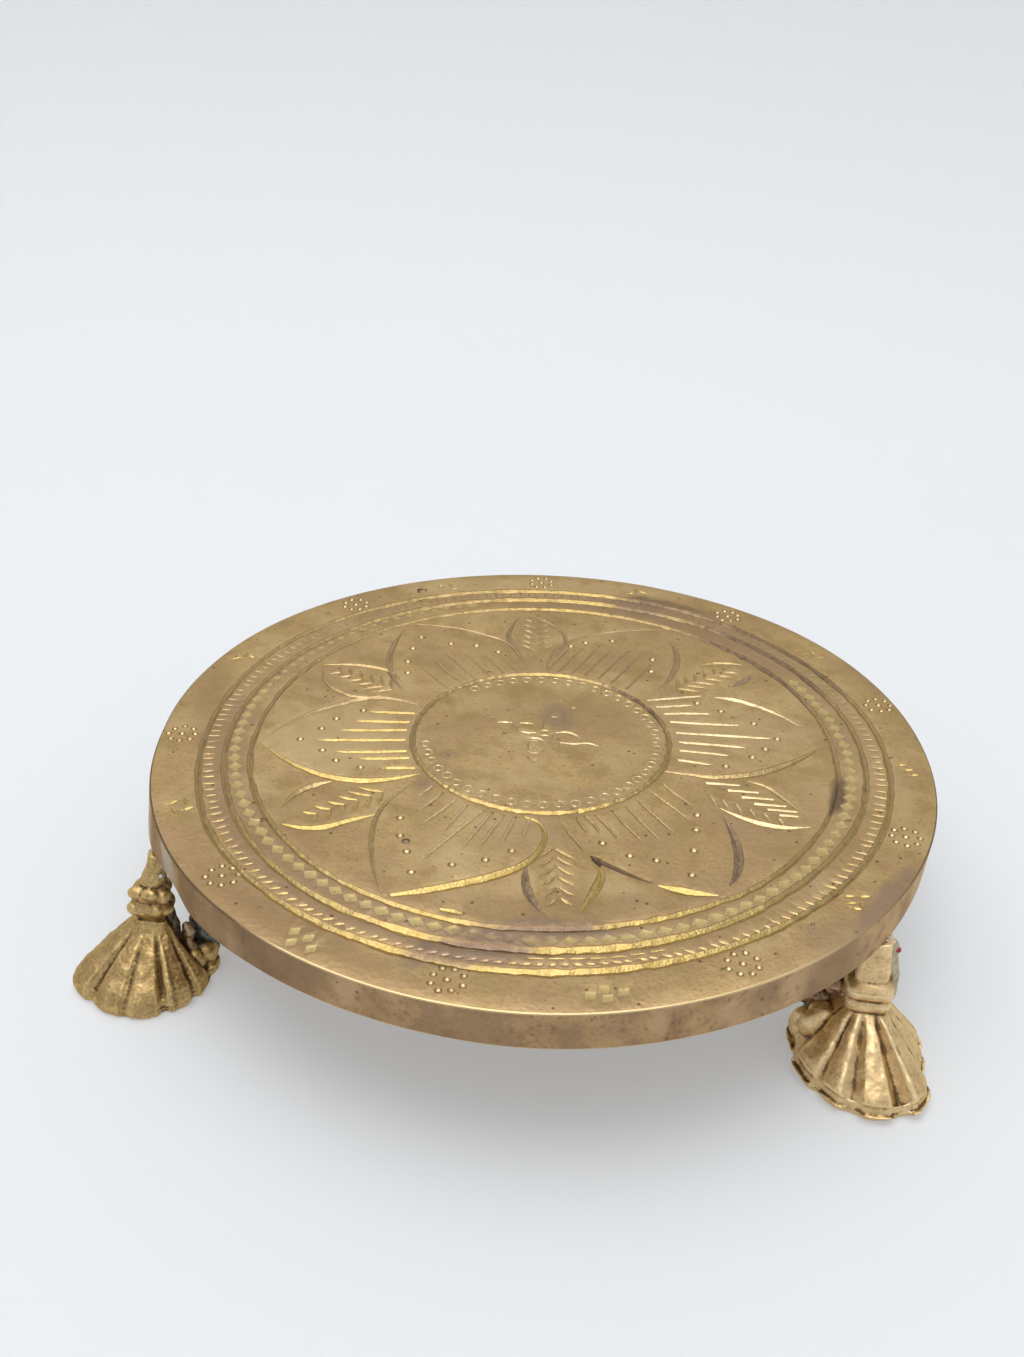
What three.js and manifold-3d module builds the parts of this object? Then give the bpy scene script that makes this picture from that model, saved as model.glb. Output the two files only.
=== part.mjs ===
// Bajot low table: a round cast-brass plate, chased with a six-petalled lotus, on three cast
// scallop-shell feet that are soldered under its rim.
// Millimetres, +Z up, front toward -Y, origin on the ground under the middle of the table's box.
import * as THREE from "three";
import { mergeVertices } from "three/addons/utils/BufferGeometryUtils.js";
import Module from "manifold-3d";

const wasm = await Module();
wasm.setup();

// Sizes of the whole table
const plate_radius = 80;
const plate_thickness = 7.5;
const table_height = 36;
const foot_height = table_height - plate_thickness;

// The film of clearance that soldered pieces keep between them
const seat_gap = 0.3;
// How far a cutter runs past the face that it cuts
const cutter_overrun = 1;

// Plate: softened edges and the chased ring lines, each ring set in from the rim
const plate_segments = 72;
const top_edge_radius = 1.3;
const bottom_edge_radius = 0.7;
const line_depth = 0.55;
const line_half_width = 0.75;
const outer_line_inset = 9.4;
const middle_line_inset = 14.6;
const inner_line_inset = 19.6;
const medallion_radius = 27.2;
const medallion_line_depth = 0.7;
const medallion_line_half_width = 0.8;

// Lotus: six petals and six leaves between them, drawn out to this radius
const lotus_radius = 58.8;
const petal_count = 6;
const petal_turn_degrees = 9;
const outline_half_width = 0.85;
const outline_depth = 0.6;
const hatch_half_width = 0.55;
const hatch_depth = 0.4;
const hatch_start_clearance = 1.4;
const vein_clearance = 0.7;
const nick_point_share = 0.1;
// Points along and across a petal's axis, from its tip to its foot, of the lotus radius
const petal_outline_shares = [
  [0.995, 0.015],
  [0.95, 0.095],
  [0.89, 0.163],
  [0.815, 0.224],
  [0.72, 0.272],
  [0.625, 0.288],
  [0.53, 0.279],
  [0.44, 0.238],
];
const leaf_outline_shares = [
  [0.96, 0.027],
  [0.905, 0.068],
  [0.84, 0.097],
  [0.77, 0.112],
  [0.715, 0.106],
  [0.67, 0.082],
];
// Hatch lines of a petal: how far across its axis each one lies, and where it ends
const hatch_shares = [
  [0.225, 0.56],
  [0.16, 0.63],
  [0.1, 0.7],
  [0.04, 0.75],
  [-0.02, 0.8],
  [-0.08, 0.73],
  [-0.14, 0.65],
  [-0.2, 0.57],
];
// Veins of a leaf: where each pair leaves the midrib, and how far it runs along and across
const vein_shares = [0.65, 0.7, 0.75, 0.8, 0.85];
const vein_along_share = 0.055;
const vein_across_share = 0.06;

// Feet: where the neck of each stands round the plate, how far outside the rim, and which way
// its shell faces. The two front feet face the front, the back foot faces the back.
const front_left_overhang = 2.2;
const front_right_overhang = -0.6;
const back_overhang = 0.8;
// How far the top of each stem leans in toward the plate's middle
const front_left_lean = 2.5;
const front_right_lean = 0.8;
const back_lean = 1.6;

// Shell of a foot: reach to the front, half width, height of the neck, lip and wall
const shell_reach = 15.6;
const shell_half_width = 12;
const shell_height = 13.9;
const shell_lip = 2.6;
const shell_lip_at_ear = 4.4;
const shell_lip_undercut = 0.5;
const shell_wall = 2;
const shell_edge_sag = 2.4;
const flute_depth_at_neck = 0.25;
const flute_depth_at_rim = 1.4;
const flute_depth_at_sole = 0.6;
const steps_per_lobe = 4;
// Plan of each shell's rim on the ground, as shares of reach and half width. It runs from the
// edge on the plate's outer side, round the front, to the ear on its inner side, and has one
// point at each groove between two lobes.
const left_rim_shares = [
  [-0.4, 0.78],
  [0.27, 1.2],
  [0.81, 0.88],
  [0.94, 0.42],
  [0.94, 0],
  [0.84, -0.4],
  [0.6, -0.66],
  [0.1, -0.85],
  [-0.29, -0.96],
];
const right_rim_shares = [
  [-0.46, 0.76],
  [-0.04, 0.85],
  [0.43, 0.95],
  [1, 0.5],
  [0.91, -0.3],
  [0.62, -0.78],
  [0.1, -1.02],
  [-0.27, -1.2],
];
// Rows of the wall: down the cone as shares of neck to rim, then down the lip
const cone_shares = [0, 0.25, 0.5, 0.75, 0.93];
const lip_shares = [0, 0.4, 1];

// Neck of a foot: two rolls over a waist, with a plug that closes the top of the hollow
const neck_half_width = 4.6;
const neck_half_depth = 3.9;
const neck_waist = 0.6;
const neck_bottom = 13.2;
const neck_plug_depth = 2.8;
const roll_height = 3.3;
const upper_roll_share = 0.86;
const neck_sides = 16;
// How square a section is: 2 gives an oval, more gives flatter sides
const section_squareness = 3;
// A roll's bulge, from its lower edge to its upper one
const roll_shares = [
  [0, 0],
  [0.16, 0.62],
  [0.5, 1],
  [0.84, 0.62],
];

// Stem of a foot: a tapering tab that leans in under the plate
const stem_half_width = 3.5;
const stem_half_depth = 3;
const stem_top_half_width = 2.7;
const stem_top_half_depth = 2.4;
const stem_levels = 4;

// Solder bead round the top of each stem
const bead_reach = 1.2;
const bead_height = 2.4;
const bead_levels = 3;
const bead_narrowing_share = 0.3;

// Solder web behind each neck, from the ear of the shell up to the plate
const web_foot_height = 4.9;
const web_foot_back = 6;
const web_foot_inward = 9.6;
const web_top_back = 6.9;
const web_top_inward = 6;
const web_half_width = 2.9;
const web_half_thickness = 1.3;

// Finishes
const brass = new THREE.MeshStandardMaterial({ color: 0xa98550, roughness: 0.42, metalness: 0.9 });
const cast_brass = new THREE.MeshStandardMaterial({ color: 0xb39355, roughness: 0.4, metalness: 0.9 });
const solder = new THREE.MeshStandardMaterial({ color: 0x9b9a92, roughness: 0.5, metalness: 0.7 });
const dull_solder = new THREE.MeshStandardMaterial({ color: 0x5a6155, roughness: 0.75, metalness: 0.4 });

// A closed body from points and triangles
function solid_from_triangles(points, triangles) {
  const flat = new Float32Array(points.flatMap((point) => [point.x, point.y, point.z]));
  const mesh = new wasm.Mesh({
    numProp: 3,
    vertProperties: flat,
    triVerts: new Uint32Array(triangles.flat()),
  });
  return new wasm.Manifold(mesh);
}

// A closed body from a three.js geometry, its shared corners merged
function solid_from_geometry(geometry) {
  const plain = geometry.clone();
  plain.deleteAttribute("normal");
  plain.deleteAttribute("uv");
  const merged = mergeVertices(plain);
  const mesh = new wasm.Mesh({
    numProp: 3,
    vertProperties: merged.attributes.position.array,
    triVerts: new Uint32Array(merged.index.array),
  });
  return new wasm.Manifold(mesh);
}

function geometry_from_solid(solid) {
  const mesh = solid.getMesh();
  const geometry = new THREE.BufferGeometry();
  geometry.setAttribute("position", new THREE.BufferAttribute(mesh.vertProperties, 3));
  geometry.setIndex(new THREE.BufferAttribute(mesh.triVerts, 1));
  geometry.computeVertexNormals();
  return geometry;
}

// A body through a stack of rings, each a list of as many points, lowest ring first
function loft(rings) {
  const size = rings[0].length;
  const points = rings.flat();
  const triangles = [];
  for (let level = 0; level + 1 < rings.length; level++) {
    for (let i = 0; i < size; i++) {
      const a = level * size + i;
      const b = level * size + ((i + 1) % size);
      triangles.push([a, b, b + size], [a, b + size, a + size]);
    }
  }
  const top = (rings.length - 1) * size;
  for (let i = 1; i + 1 < size; i++) {
    triangles.push([0, i + 1, i], [top, top + i, top + i + 1]);
  }
  return solid_from_triangles(points, triangles);
}

// A level ring between an oval and a rectangle, round a centre
function section_ring(centre, half_depth, half_width) {
  const points = [];
  for (let side = 0; side < neck_sides; side++) {
    const angle = (2 * Math.PI * side) / neck_sides;
    const bend = (value) => Math.sign(value) * Math.abs(value) ** (2 / section_squareness);
    const x = centre.x + half_depth * bend(Math.cos(angle));
    const y = centre.y + half_width * bend(Math.sin(angle));
    points.push(new THREE.Vector3(x, y, centre.z));
  }
  return points;
}

// Plate blank: a turned disc with rounded edges and its ring lines
function plate_blank() {
  const top = table_height;
  const v_line = (radius, half_width, depth) => [
    [radius + half_width, top],
    [radius, top - depth],
    [radius - half_width, top],
  ];
  const arc = (edge_radius, height, from_degrees) => {
    const steps = 2;
    const points = [];
    for (let step = 0; step <= steps; step++) {
      const angle = THREE.MathUtils.degToRad(from_degrees + (90 * step) / steps);
      points.push([
        plate_radius - edge_radius + edge_radius * Math.cos(angle),
        height + edge_radius * Math.sin(angle),
      ]);
    }
    return points;
  };
  const profile = [
    [0, foot_height],
    ...arc(bottom_edge_radius, foot_height + bottom_edge_radius, -90),
    ...arc(top_edge_radius, top - top_edge_radius, 0),
    ...v_line(plate_radius - outer_line_inset, line_half_width, line_depth),
    ...v_line(plate_radius - middle_line_inset, line_half_width, line_depth),
    ...v_line(plate_radius - inner_line_inset, line_half_width, line_depth),
    ...v_line(medallion_radius, medallion_line_half_width, medallion_line_depth),
    [0, top],
  ].map(([radius, height]) => new THREE.Vector2(radius, height));
  const turned = new THREE.LatheGeometry(profile, plate_segments);
  turned.rotateX(Math.PI / 2);
  return solid_from_geometry(turned);
}

// A V-shaped cutter along a path. The swell at each point, up to 1, sets its width and depth.
function stroke_cutter({ points, swells, half_width, depth }) {
  const top = table_height + cutter_overrun;
  const flare = (cutter_overrun / depth) * half_width;
  const rings = points.map((point, i) => {
    const before = points[Math.max(i - 1, 0)];
    const after = points[Math.min(i + 1, points.length - 1)];
    const along = new THREE.Vector2().subVectors(after, before).normalize();
    const side = new THREE.Vector2(-along.y, along.x).multiplyScalar(half_width * swells[i] + flare);
    return [
      new THREE.Vector3(point.x, point.y, table_height - depth * swells[i]),
      new THREE.Vector3(point.x + side.x, point.y + side.y, top),
      new THREE.Vector3(point.x - side.x, point.y - side.y, top),
    ];
  });
  return loft(rings);
}

// One side of a petal's or leaf's outline: a boat-shaped stroke, widest at its middle
function outline_stroke(shares, side) {
  const points = shares.map(
    ([along, across]) => new THREE.Vector2(along * lotus_radius, side * across * lotus_radius),
  );
  const swells = points.map((_, i) => Math.sqrt(Math.sin((Math.PI * (i + 0.4)) / (points.length - 0.2))));
  return { points, swells, half_width: outline_half_width, depth: outline_depth };
}

// A short nick: full at its start and running out to a point
function nick(start, end) {
  return { points: [start, end], swells: [1, nick_point_share], half_width: hatch_half_width, depth: hatch_depth };
}

// The strokes of one petal, its axis along +X
function petal_strokes() {
  const strokes = [-1, 1].map((side) => outline_stroke(petal_outline_shares, side));
  const start_radius = medallion_radius + medallion_line_half_width + hatch_start_clearance;
  for (const [across_share, end_share] of hatch_shares) {
    const across = across_share * lotus_radius;
    const start = Math.sqrt(start_radius ** 2 - across ** 2);
    strokes.push(nick(new THREE.Vector2(start, across), new THREE.Vector2(end_share * lotus_radius, across)));
  }
  return strokes;
}

// The strokes of one leaf, its axis along +X
function leaf_strokes() {
  const strokes = [-1, 1].map((side) => outline_stroke(leaf_outline_shares, side));
  for (const side of [-1, 1]) {
    for (const apex_share of vein_shares) {
      const apex = apex_share * lotus_radius;
      const run = vein_along_share * lotus_radius;
      const across = side * vein_across_share * lotus_radius;
      strokes.push(nick(new THREE.Vector2(apex, side * vein_clearance), new THREE.Vector2(apex + run, across)));
    }
  }
  return strokes;
}

function plate_geometry() {
  const cutters = [];
  const turn = 360 / petal_count;
  for (let i = 0; i < petal_count; i++) {
    const petal_degrees = petal_turn_degrees + turn * i;
    for (const [strokes, degrees] of [
      [petal_strokes(), petal_degrees],
      [leaf_strokes(), petal_degrees + turn / 2],
    ]) {
      cutters.push(...strokes.map((stroke) => stroke_cutter(stroke).rotate([0, 0, degrees])));
    }
  }
  const chased = cutters.reduce((plate, cutter) => plate.subtract(cutter), plate_blank());
  return geometry_from_solid(chased);
}

// Smooth lines round a shell through its stations: at the neck, the rim and the sole. A shell's
// own axes are +X to its front and +Y to the side that its plan lists first.
function shell_lines(rim_shares) {
  const neck = [];
  const rim = [];
  const sole = [];
  rim_shares.forEach(([forward, across], i) => {
    const x = forward * shell_reach;
    const y = across * shell_half_width;
    const angle = Math.atan2(y, x);
    const out = new THREE.Vector2(x, y).normalize().multiplyScalar(shell_lip_undercut);
    const lip = i + 1 < rim_shares.length ? shell_lip : shell_lip_at_ear;
    neck.push(new THREE.Vector3(neck_half_depth * Math.cos(angle), neck_half_width * Math.sin(angle), shell_height));
    rim.push(new THREE.Vector3(x + out.x, y + out.y, lip));
    sole.push(new THREE.Vector3(x, y, 0));
  });
  return [neck, rim, sole].map((points) => new THREE.CatmullRomCurve3(points, false, "catmullrom"));
}

// A point of the smooth shell, without its flutes, at a share of the way round and a row
function shell_point([neck, rim, sole], turn, row) {
  const low = rim.getPoint(turn);
  if (row.lip > 0) {
    return low.lerp(sole.getPoint(turn), row.lip);
  }
  const point = neck.getPoint(turn).lerp(low, row.cone);
  const nearness_to_edge = Math.abs(2 * turn - 1) ** 8;
  point.z -= shell_edge_sag * nearness_to_edge * Math.sin(Math.PI * row.cone);
  return point;
}

function shell_rows() {
  const cone = cone_shares.map((share) => ({ cone: share, lip: 0 }));
  const lip = lip_shares.map((share) => ({ cone: 1, lip: share }));
  return [...cone, ...lip];
}

// The fluted wall: an outer skin and an inner one, closed along all their edges
function shell_solid(rim_shares) {
  const rows = shell_rows();
  const lines = shell_lines(rim_shares);
  const lobes = rim_shares.length - 1;
  const steps = lobes * steps_per_lobe;
  const outer = [];
  const inner = [];
  for (let step = 0; step <= steps; step++) {
    const turn = step / steps;
    const from_crest = (step % steps_per_lobe) / steps_per_lobe - 0.5;
    const crest = Math.sqrt(1 - (2 * from_crest) ** 2);
    const base = rows.map((row) => shell_point(lines, turn, row));
    const behind = rows.map((row) => shell_point(lines, Math.max(turn - 0.5 / steps, 0), row));
    const ahead = rows.map((row) => shell_point(lines, Math.min(turn + 0.5 / steps, 1), row));
    rows.forEach((row, i) => {
      const across = ahead[i].sub(behind[i]);
      const down = base[Math.min(i + 1, rows.length - 1)].clone().sub(base[Math.max(i - 1, 0)]);
      const out = new THREE.Vector3().crossVectors(across, down);
      if (row.lip > 0) {
        out.z = 0;
      }
      out.normalize();
      const depth_on_cone = THREE.MathUtils.lerp(flute_depth_at_neck, flute_depth_at_rim, row.cone);
      const depth = THREE.MathUtils.lerp(depth_on_cone, flute_depth_at_sole, row.lip);
      const groove = depth * (1 - crest);
      outer.push(base[i].clone().addScaledVector(out, -groove));
      inner.push(base[i].clone().addScaledVector(out, -shell_wall - groove / 2));
    });
  }
  const count = rows.length;
  const offset = outer.length;
  const triangles = [];
  const quad = (a, b, c, d) => triangles.push([a, c, b], [a, d, c]);
  for (let step = 0; step < steps; step++) {
    const here = step * count;
    const next = here + count;
    const low = count - 1;
    for (let i = 0; i < low; i++) {
      quad(here + i, here + i + 1, next + i + 1, next + i);
      quad(offset + here + i, offset + next + i, offset + next + i + 1, offset + here + i + 1);
    }
    quad(here, next, offset + next, offset + here);
    quad(here + low, offset + here + low, offset + next + low, next + low);
  }
  for (let i = 0; i + 1 < count; i++) {
    const end = steps * count;
    quad(i, offset + i, offset + i + 1, i + 1);
    quad(end + i, end + i + 1, offset + end + i + 1, offset + end + i);
  }
  return solid_from_triangles([...outer, ...inner], triangles);
}

// Two rolls round the neck, on a plug
function neck_solid() {
  const ring = (bulge, height, share) => {
    const inset = neck_waist * (1 - bulge);
    const centre = new THREE.Vector3(0, 0, height);
    return section_ring(centre, share * neck_half_depth - inset, share * neck_half_width - inset);
  };
  const rings = [ring(0, neck_bottom - neck_plug_depth, 1)];
  for (const [bottom, share] of [
    [neck_bottom, 1],
    [neck_bottom + roll_height, upper_roll_share],
  ]) {
    rings.push(...roll_shares.map(([up, bulge]) => ring(bulge, bottom + up * roll_height, share)));
  }
  rings.push(ring(0, neck_bottom + 2 * roll_height, upper_roll_share));
  return loft(rings);
}

// The stem from inside the upper roll to a height, grown all round. Its lean is how far its top
// moves along the foot's own axes.
function stem_solid(lean, top, growth) {
  const bottom = neck_bottom + roll_height;
  const seat = foot_height - seat_gap;
  const rings = [];
  for (let level = 0; level < stem_levels; level++) {
    const height = THREE.MathUtils.lerp(bottom, top, level / (stem_levels - 1));
    const up = (height - bottom) / (seat - bottom);
    const centre = new THREE.Vector3(lean.x * up, lean.y * up, height);
    rings.push(
      section_ring(
        centre,
        THREE.MathUtils.lerp(stem_half_depth, stem_top_half_depth, up) + growth,
        THREE.MathUtils.lerp(stem_half_width, stem_top_half_width, up) + growth,
      ),
    );
  }
  return loft(rings);
}

function foot_solid(rim_shares, lean) {
  return shell_solid(rim_shares).add(neck_solid()).add(stem_solid(lean, foot_height - seat_gap, 0));
}

// Bead of solder round the stem's top, cut clear of the stem
function bead_solid(lean) {
  const top = foot_height - seat_gap;
  const rings = [];
  for (let level = 0; level < bead_levels; level++) {
    const share = level / (bead_levels - 1);
    const reach = THREE.MathUtils.lerp(bead_narrowing_share, 1, share * share) * bead_reach;
    const height = top - bead_height * (1 - share);
    const centre = new THREE.Vector3(lean.x, lean.y, height);
    rings.push(section_ring(centre, stem_top_half_depth + reach, stem_top_half_width + reach));
  }
  return loft(rings).subtract(stem_solid(lean, foot_height + cutter_overrun, seat_gap));
}

// Web of solder from behind the shell's ear up to the plate
function web_solid() {
  const foot = new THREE.Vector3(-web_foot_back, -web_foot_inward, web_foot_height);
  const top = new THREE.Vector3(-web_top_back, -web_top_inward, foot_height - seat_gap);
  return loft([foot, top].map((centre) => section_ring(centre, web_half_thickness, web_half_width)));
}

// A body turned over from left to right
function mirrored(solid) {
  return solid.mirror([0, 1, 0]);
}

// The table, put together
const table = new THREE.Group();
const standing = new THREE.Group();
table.add(standing);

const plate = new THREE.Mesh(plate_geometry(), brass);
plate.name = "plate";
standing.add(plate);

// One foot with its two runs of solder. Its neck stands at a bearing round the plate, and its
// shell faces another. Bearings run anticlockwise from +X.
function add_foot({ side, bearing, facing, overhang, stem_lean, rim_shares, is_mirrored }) {
  const place = new THREE.Group();
  place.rotation.z = THREE.MathUtils.degToRad(facing);
  const stand = THREE.MathUtils.degToRad(bearing);
  const reach = plate_radius + overhang;
  place.position.set(reach * Math.cos(stand), reach * Math.sin(stand), 0);
  const turn = (is_mirrored ? -1 : 1) * (stand - place.rotation.z);
  const lean = new THREE.Vector2(-Math.cos(turn), -Math.sin(turn)).multiplyScalar(stem_lean);
  const bodies = [foot_solid(rim_shares, lean), bead_solid(lean), web_solid()];
  const names = [`foot_${side}`, `solder_bead_${side}`, `solder_web_${side}`];
  const finishes = [cast_brass, solder, dull_solder];
  bodies.forEach((body, i) => {
    const piece = new THREE.Mesh(geometry_from_solid(is_mirrored ? mirrored(body) : body), finishes[i]);
    piece.name = names[i];
    place.add(piece);
  });
  standing.add(place);
}

add_foot({
  side: "front_left",
  bearing: -148,
  facing: -90,
  overhang: front_left_overhang,
  stem_lean: front_left_lean,
  rim_shares: left_rim_shares,
  is_mirrored: true,
});
add_foot({
  side: "front_right",
  bearing: -32,
  facing: -90,
  overhang: front_right_overhang,
  stem_lean: front_right_lean,
  rim_shares: right_rim_shares,
  is_mirrored: false,
});
add_foot({
  side: "back",
  bearing: 90,
  facing: 90,
  overhang: back_overhang,
  stem_lean: back_lean,
  rim_shares: left_rim_shares,
  is_mirrored: false,
});

// Stand the table's box over the origin
const box = new THREE.Box3().setFromObject(standing, true);
const middle = box.getCenter(new THREE.Vector3());
standing.position.set(-middle.x, -middle.y, -box.min.z);

export default table;
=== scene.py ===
# %% [markdown]
# # A chased brass table on shell feet
# This notebook dresses a small round brass table. Its plate is one heavy casting, filed flat and
# then chased by hand with a lotus. Three cast feet, each shaped as a scallop shell, are soldered
# under its rim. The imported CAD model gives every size. Here the plate gets its punched and
# chiselled work, the feet get their cast lobes, and all of it gets the wear of old brass.

import math

import bmesh
import bpy
import numpy as np
from mathutils import Matrix, Vector, noise


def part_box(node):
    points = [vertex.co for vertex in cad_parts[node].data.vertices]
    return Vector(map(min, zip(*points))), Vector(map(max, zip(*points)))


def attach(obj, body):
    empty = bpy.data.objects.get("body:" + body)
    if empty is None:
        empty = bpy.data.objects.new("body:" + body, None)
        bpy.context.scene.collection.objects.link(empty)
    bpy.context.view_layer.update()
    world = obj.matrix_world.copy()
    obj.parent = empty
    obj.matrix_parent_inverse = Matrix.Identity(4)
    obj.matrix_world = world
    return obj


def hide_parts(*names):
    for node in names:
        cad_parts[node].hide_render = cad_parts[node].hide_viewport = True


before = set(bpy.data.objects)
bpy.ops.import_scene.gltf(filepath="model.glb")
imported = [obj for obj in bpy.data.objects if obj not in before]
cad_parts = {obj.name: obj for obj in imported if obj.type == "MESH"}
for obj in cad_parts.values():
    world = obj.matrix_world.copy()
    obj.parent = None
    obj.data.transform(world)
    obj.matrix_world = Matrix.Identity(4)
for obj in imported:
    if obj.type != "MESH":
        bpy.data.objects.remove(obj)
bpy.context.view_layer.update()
plate_low, plate_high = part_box("plate")
plate_axis = (plate_low + plate_high) / 2
plate_radius = (plate_high.x - plate_low.x) / 2
plate_top = plate_high.z
plate_bottom = plate_low.z
mm = 0.001
print("plate radius", round(plate_radius / mm, 2), "mm, top at", round(plate_top / mm, 2), "mm")

# %% [markdown]
# ## Camera
# The photograph is taken from a little above and slightly to the right, close to the table, so
# the far side of the plate looks much smaller than the near side. The place, the turn and the
# lens below were fitted to the ellipse of the plate's rim and to the ring lines.

# %% Camera
camera_from_axis = Vector((25.9 * mm, -228.2 * mm, 181.5 * mm))
camera_turn = [math.radians(degrees) for degrees in (60.19, -1.477, 9.0)]
camera_place = (plate_axis.x + camera_from_axis.x, plate_axis.y + camera_from_axis.y, camera_from_axis.z)
bpy.ops.object.select_all(action="DESELECT")
bpy.ops.object.camera_add(location=camera_place, rotation=camera_turn)
camera = bpy.context.object
camera.data.lens = 34.4
camera.data.clip_start = 5 * mm
camera.data.clip_end = 20
bpy.context.scene.camera = camera
print("camera", round(camera.location.z / mm, 1), "mm above the ground")

# %% [markdown]
# ## Ground and light
# The table stands on a sheet of white card that curves up behind it and becomes the backdrop, so
# that no line shows. The sheet is a plane here. Its far edge is extruded upwards and the fold is
# bevelled into a sweep. A broad soft lamp hangs above, and the pale room fills in all round. The
# room is dimmer on the near side, which gives cut metal its dark walls.

# %% Tools for setting up pieces
def deselect_all():
    bpy.ops.object.select_all(action="DESELECT")


def take_up(piece):
    """Makes one object the only selected one, and the active one."""
    deselect_all()
    piece.select_set(True)
    bpy.context.view_layer.objects.active = piece


def settle(piece, name):
    """Puts a finished object's place, turn and size into its mesh, and names it."""
    take_up(piece)
    bpy.ops.object.transform_apply(location=True, rotation=True, scale=True)
    piece.name = name
    piece.data.name = name
    return piece


def add_object(name, data):
    """Puts a mesh or a curve that was made in code into the scene."""
    piece = bpy.data.objects.new(name, data)
    bpy.context.scene.collection.objects.link(piece)
    return piece


def select_edges(mesh, wanted):
    """Selects the edges whose two ends pass a test, with the object in edit mode."""
    bpy.ops.mesh.select_mode(type="EDGE")
    bpy.ops.mesh.select_all(action="DESELECT")
    work = bmesh.from_edit_mesh(mesh)
    for edge in work.edges:
        edge.select_set(wanted(edge.verts[0].co, edge.verts[1].co))
    bmesh.update_edit_mesh(mesh)


def face_outwards(piece, weld=None):
    """Turns a mesh's faces outwards, once points closer than the weld are merged."""
    take_up(piece)
    bpy.ops.object.mode_set(mode="EDIT")
    bpy.ops.mesh.select_all(action="SELECT")
    if weld:
        bpy.ops.mesh.remove_doubles(threshold=weld)
    bpy.ops.mesh.normals_make_consistent(inside=False)
    bpy.ops.object.mode_set(mode="OBJECT")


# %% Tools for laying out a material
def plug(tree, node, sockets):
    """Sets or links a node's inputs, by their number or name."""
    for key, value in sockets.items():
        if isinstance(value, bpy.types.NodeSocket):
            tree.links.new(value, node.inputs[key])
        else:
            node.inputs[key].default_value = value


def new_material(name, sockets):
    """Makes a material, with these values on its shader's own sockets."""
    material = bpy.data.materials.new(name)
    material.use_nodes = True
    tree = material.node_tree
    shader = next(node for node in tree.nodes if node.type == "BSDF_PRINCIPLED")
    plug(tree, shader, sockets)
    return material, tree, shader


def add_node(tree, kind, sockets=None, **settings):
    """Adds a node, sets its options, and plugs its inputs."""
    node = tree.nodes.new(kind)
    for key, value in settings.items():
        setattr(node, key, value)
    plug(tree, node, sockets or {})
    return node


def mix_colours(tree, share, first, second):
    """Mixes two colours, each a plain one or a socket, and gives back the mixed socket."""
    return add_node(tree, "ShaderNodeMix", {0: share, 6: first, 7: second}, data_type="RGBA").outputs[2]


def maths(tree, operation, *values, clamp=False):
    """A Math node on plain numbers and sockets."""
    sockets = dict(enumerate(values))
    return add_node(tree, "ShaderNodeMath", sockets, operation=operation, use_clamp=clamp).outputs[0]


def spread(tree, value, low, high, from_share=0.0, to_share=1.0):
    """Stretches the part of a value from low to high over two shares."""
    sockets = {0: value, 1: low, 2: high, 3: from_share, 4: to_share}
    return add_node(tree, "ShaderNodeMapRange", sockets).outputs[0]


# %% Card and room
card_colour = (0.74, 0.757, 0.775, 1)
card_glow = 0.36
room_colour = (0.97, 0.985, 1.0, 1)
room_strength = 0.8
front_strength = 0.8 * room_strength
card_half_width = 3.0
card_front = -3.0
card_fold = 0.40
card_height = 2.6
card_sweep = 0.16

card_sockets = {"Base Color": card_colour, "Roughness": 0.85, "Specular IOR Level": 0.1}
card_finish, tree, shader = new_material("white_card", card_sockets)
seen = add_node(tree, "ShaderNodeLightPath").outputs
seen_share = maths(tree, "ADD", seen["Is Camera Ray"], seen["Is Glossy Ray"], clamp=True)
seen_share = maths(tree, "ADD", seen_share, seen["Is Transmission Ray"], clamp=True)
glow_share = maths(tree, "MULTIPLY", seen_share, card_glow)
glow = add_node(tree, "ShaderNodeEmission", {"Color": card_colour, "Strength": 1.0}).outputs[0]
blend = add_node(tree, "ShaderNodeMixShader", {0: glow_share, 1: shader.outputs[0], 2: glow})
card_output = next(node for node in tree.nodes if node.type == "OUTPUT_MATERIAL")
plug(tree, card_output, {"Surface": blend.outputs[0]})

deselect_all()
bpy.ops.mesh.primitive_plane_add(size=2, location=(0, 0, 0))
card = bpy.context.object
for point in card.data.vertices:
    point.co.x *= card_half_width
    point.co.y = card_fold if point.co.y > 0 else card_front
bpy.ops.object.mode_set(mode="EDIT")
select_edges(card.data, lambda a, b: a.y > 0 and b.y > 0)
bpy.ops.mesh.extrude_region_move(TRANSFORM_OT_translate={"value": (0, 0, card_height)})
select_edges(card.data, lambda a, b: a.y > 0 and b.y > 0 and max(a.z, b.z) < 0.5 * card_height)
bpy.ops.mesh.bevel(offset=card_sweep, segments=16)
bpy.ops.object.mode_set(mode="OBJECT")
settle(card, "white_card")
bpy.ops.object.shade_smooth()
card.data.materials.append(card_finish)

bpy.context.scene.view_settings.view_transform = "Standard"
room = bpy.data.worlds.new("pale_room")
room.use_nodes = True
bpy.context.scene.world = room
tree = room.node_tree
room_direction = add_node(tree, "ShaderNodeTexCoord").outputs["Generated"]
room_depth = add_node(tree, "ShaderNodeSeparateXYZ", {0: room_direction}).outputs[1]
room_light = spread(tree, room_depth, -0.9, 0.2, front_strength, room_strength)
plug(tree, tree.nodes["Background"], {"Color": room_colour, "Strength": room_light})

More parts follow.
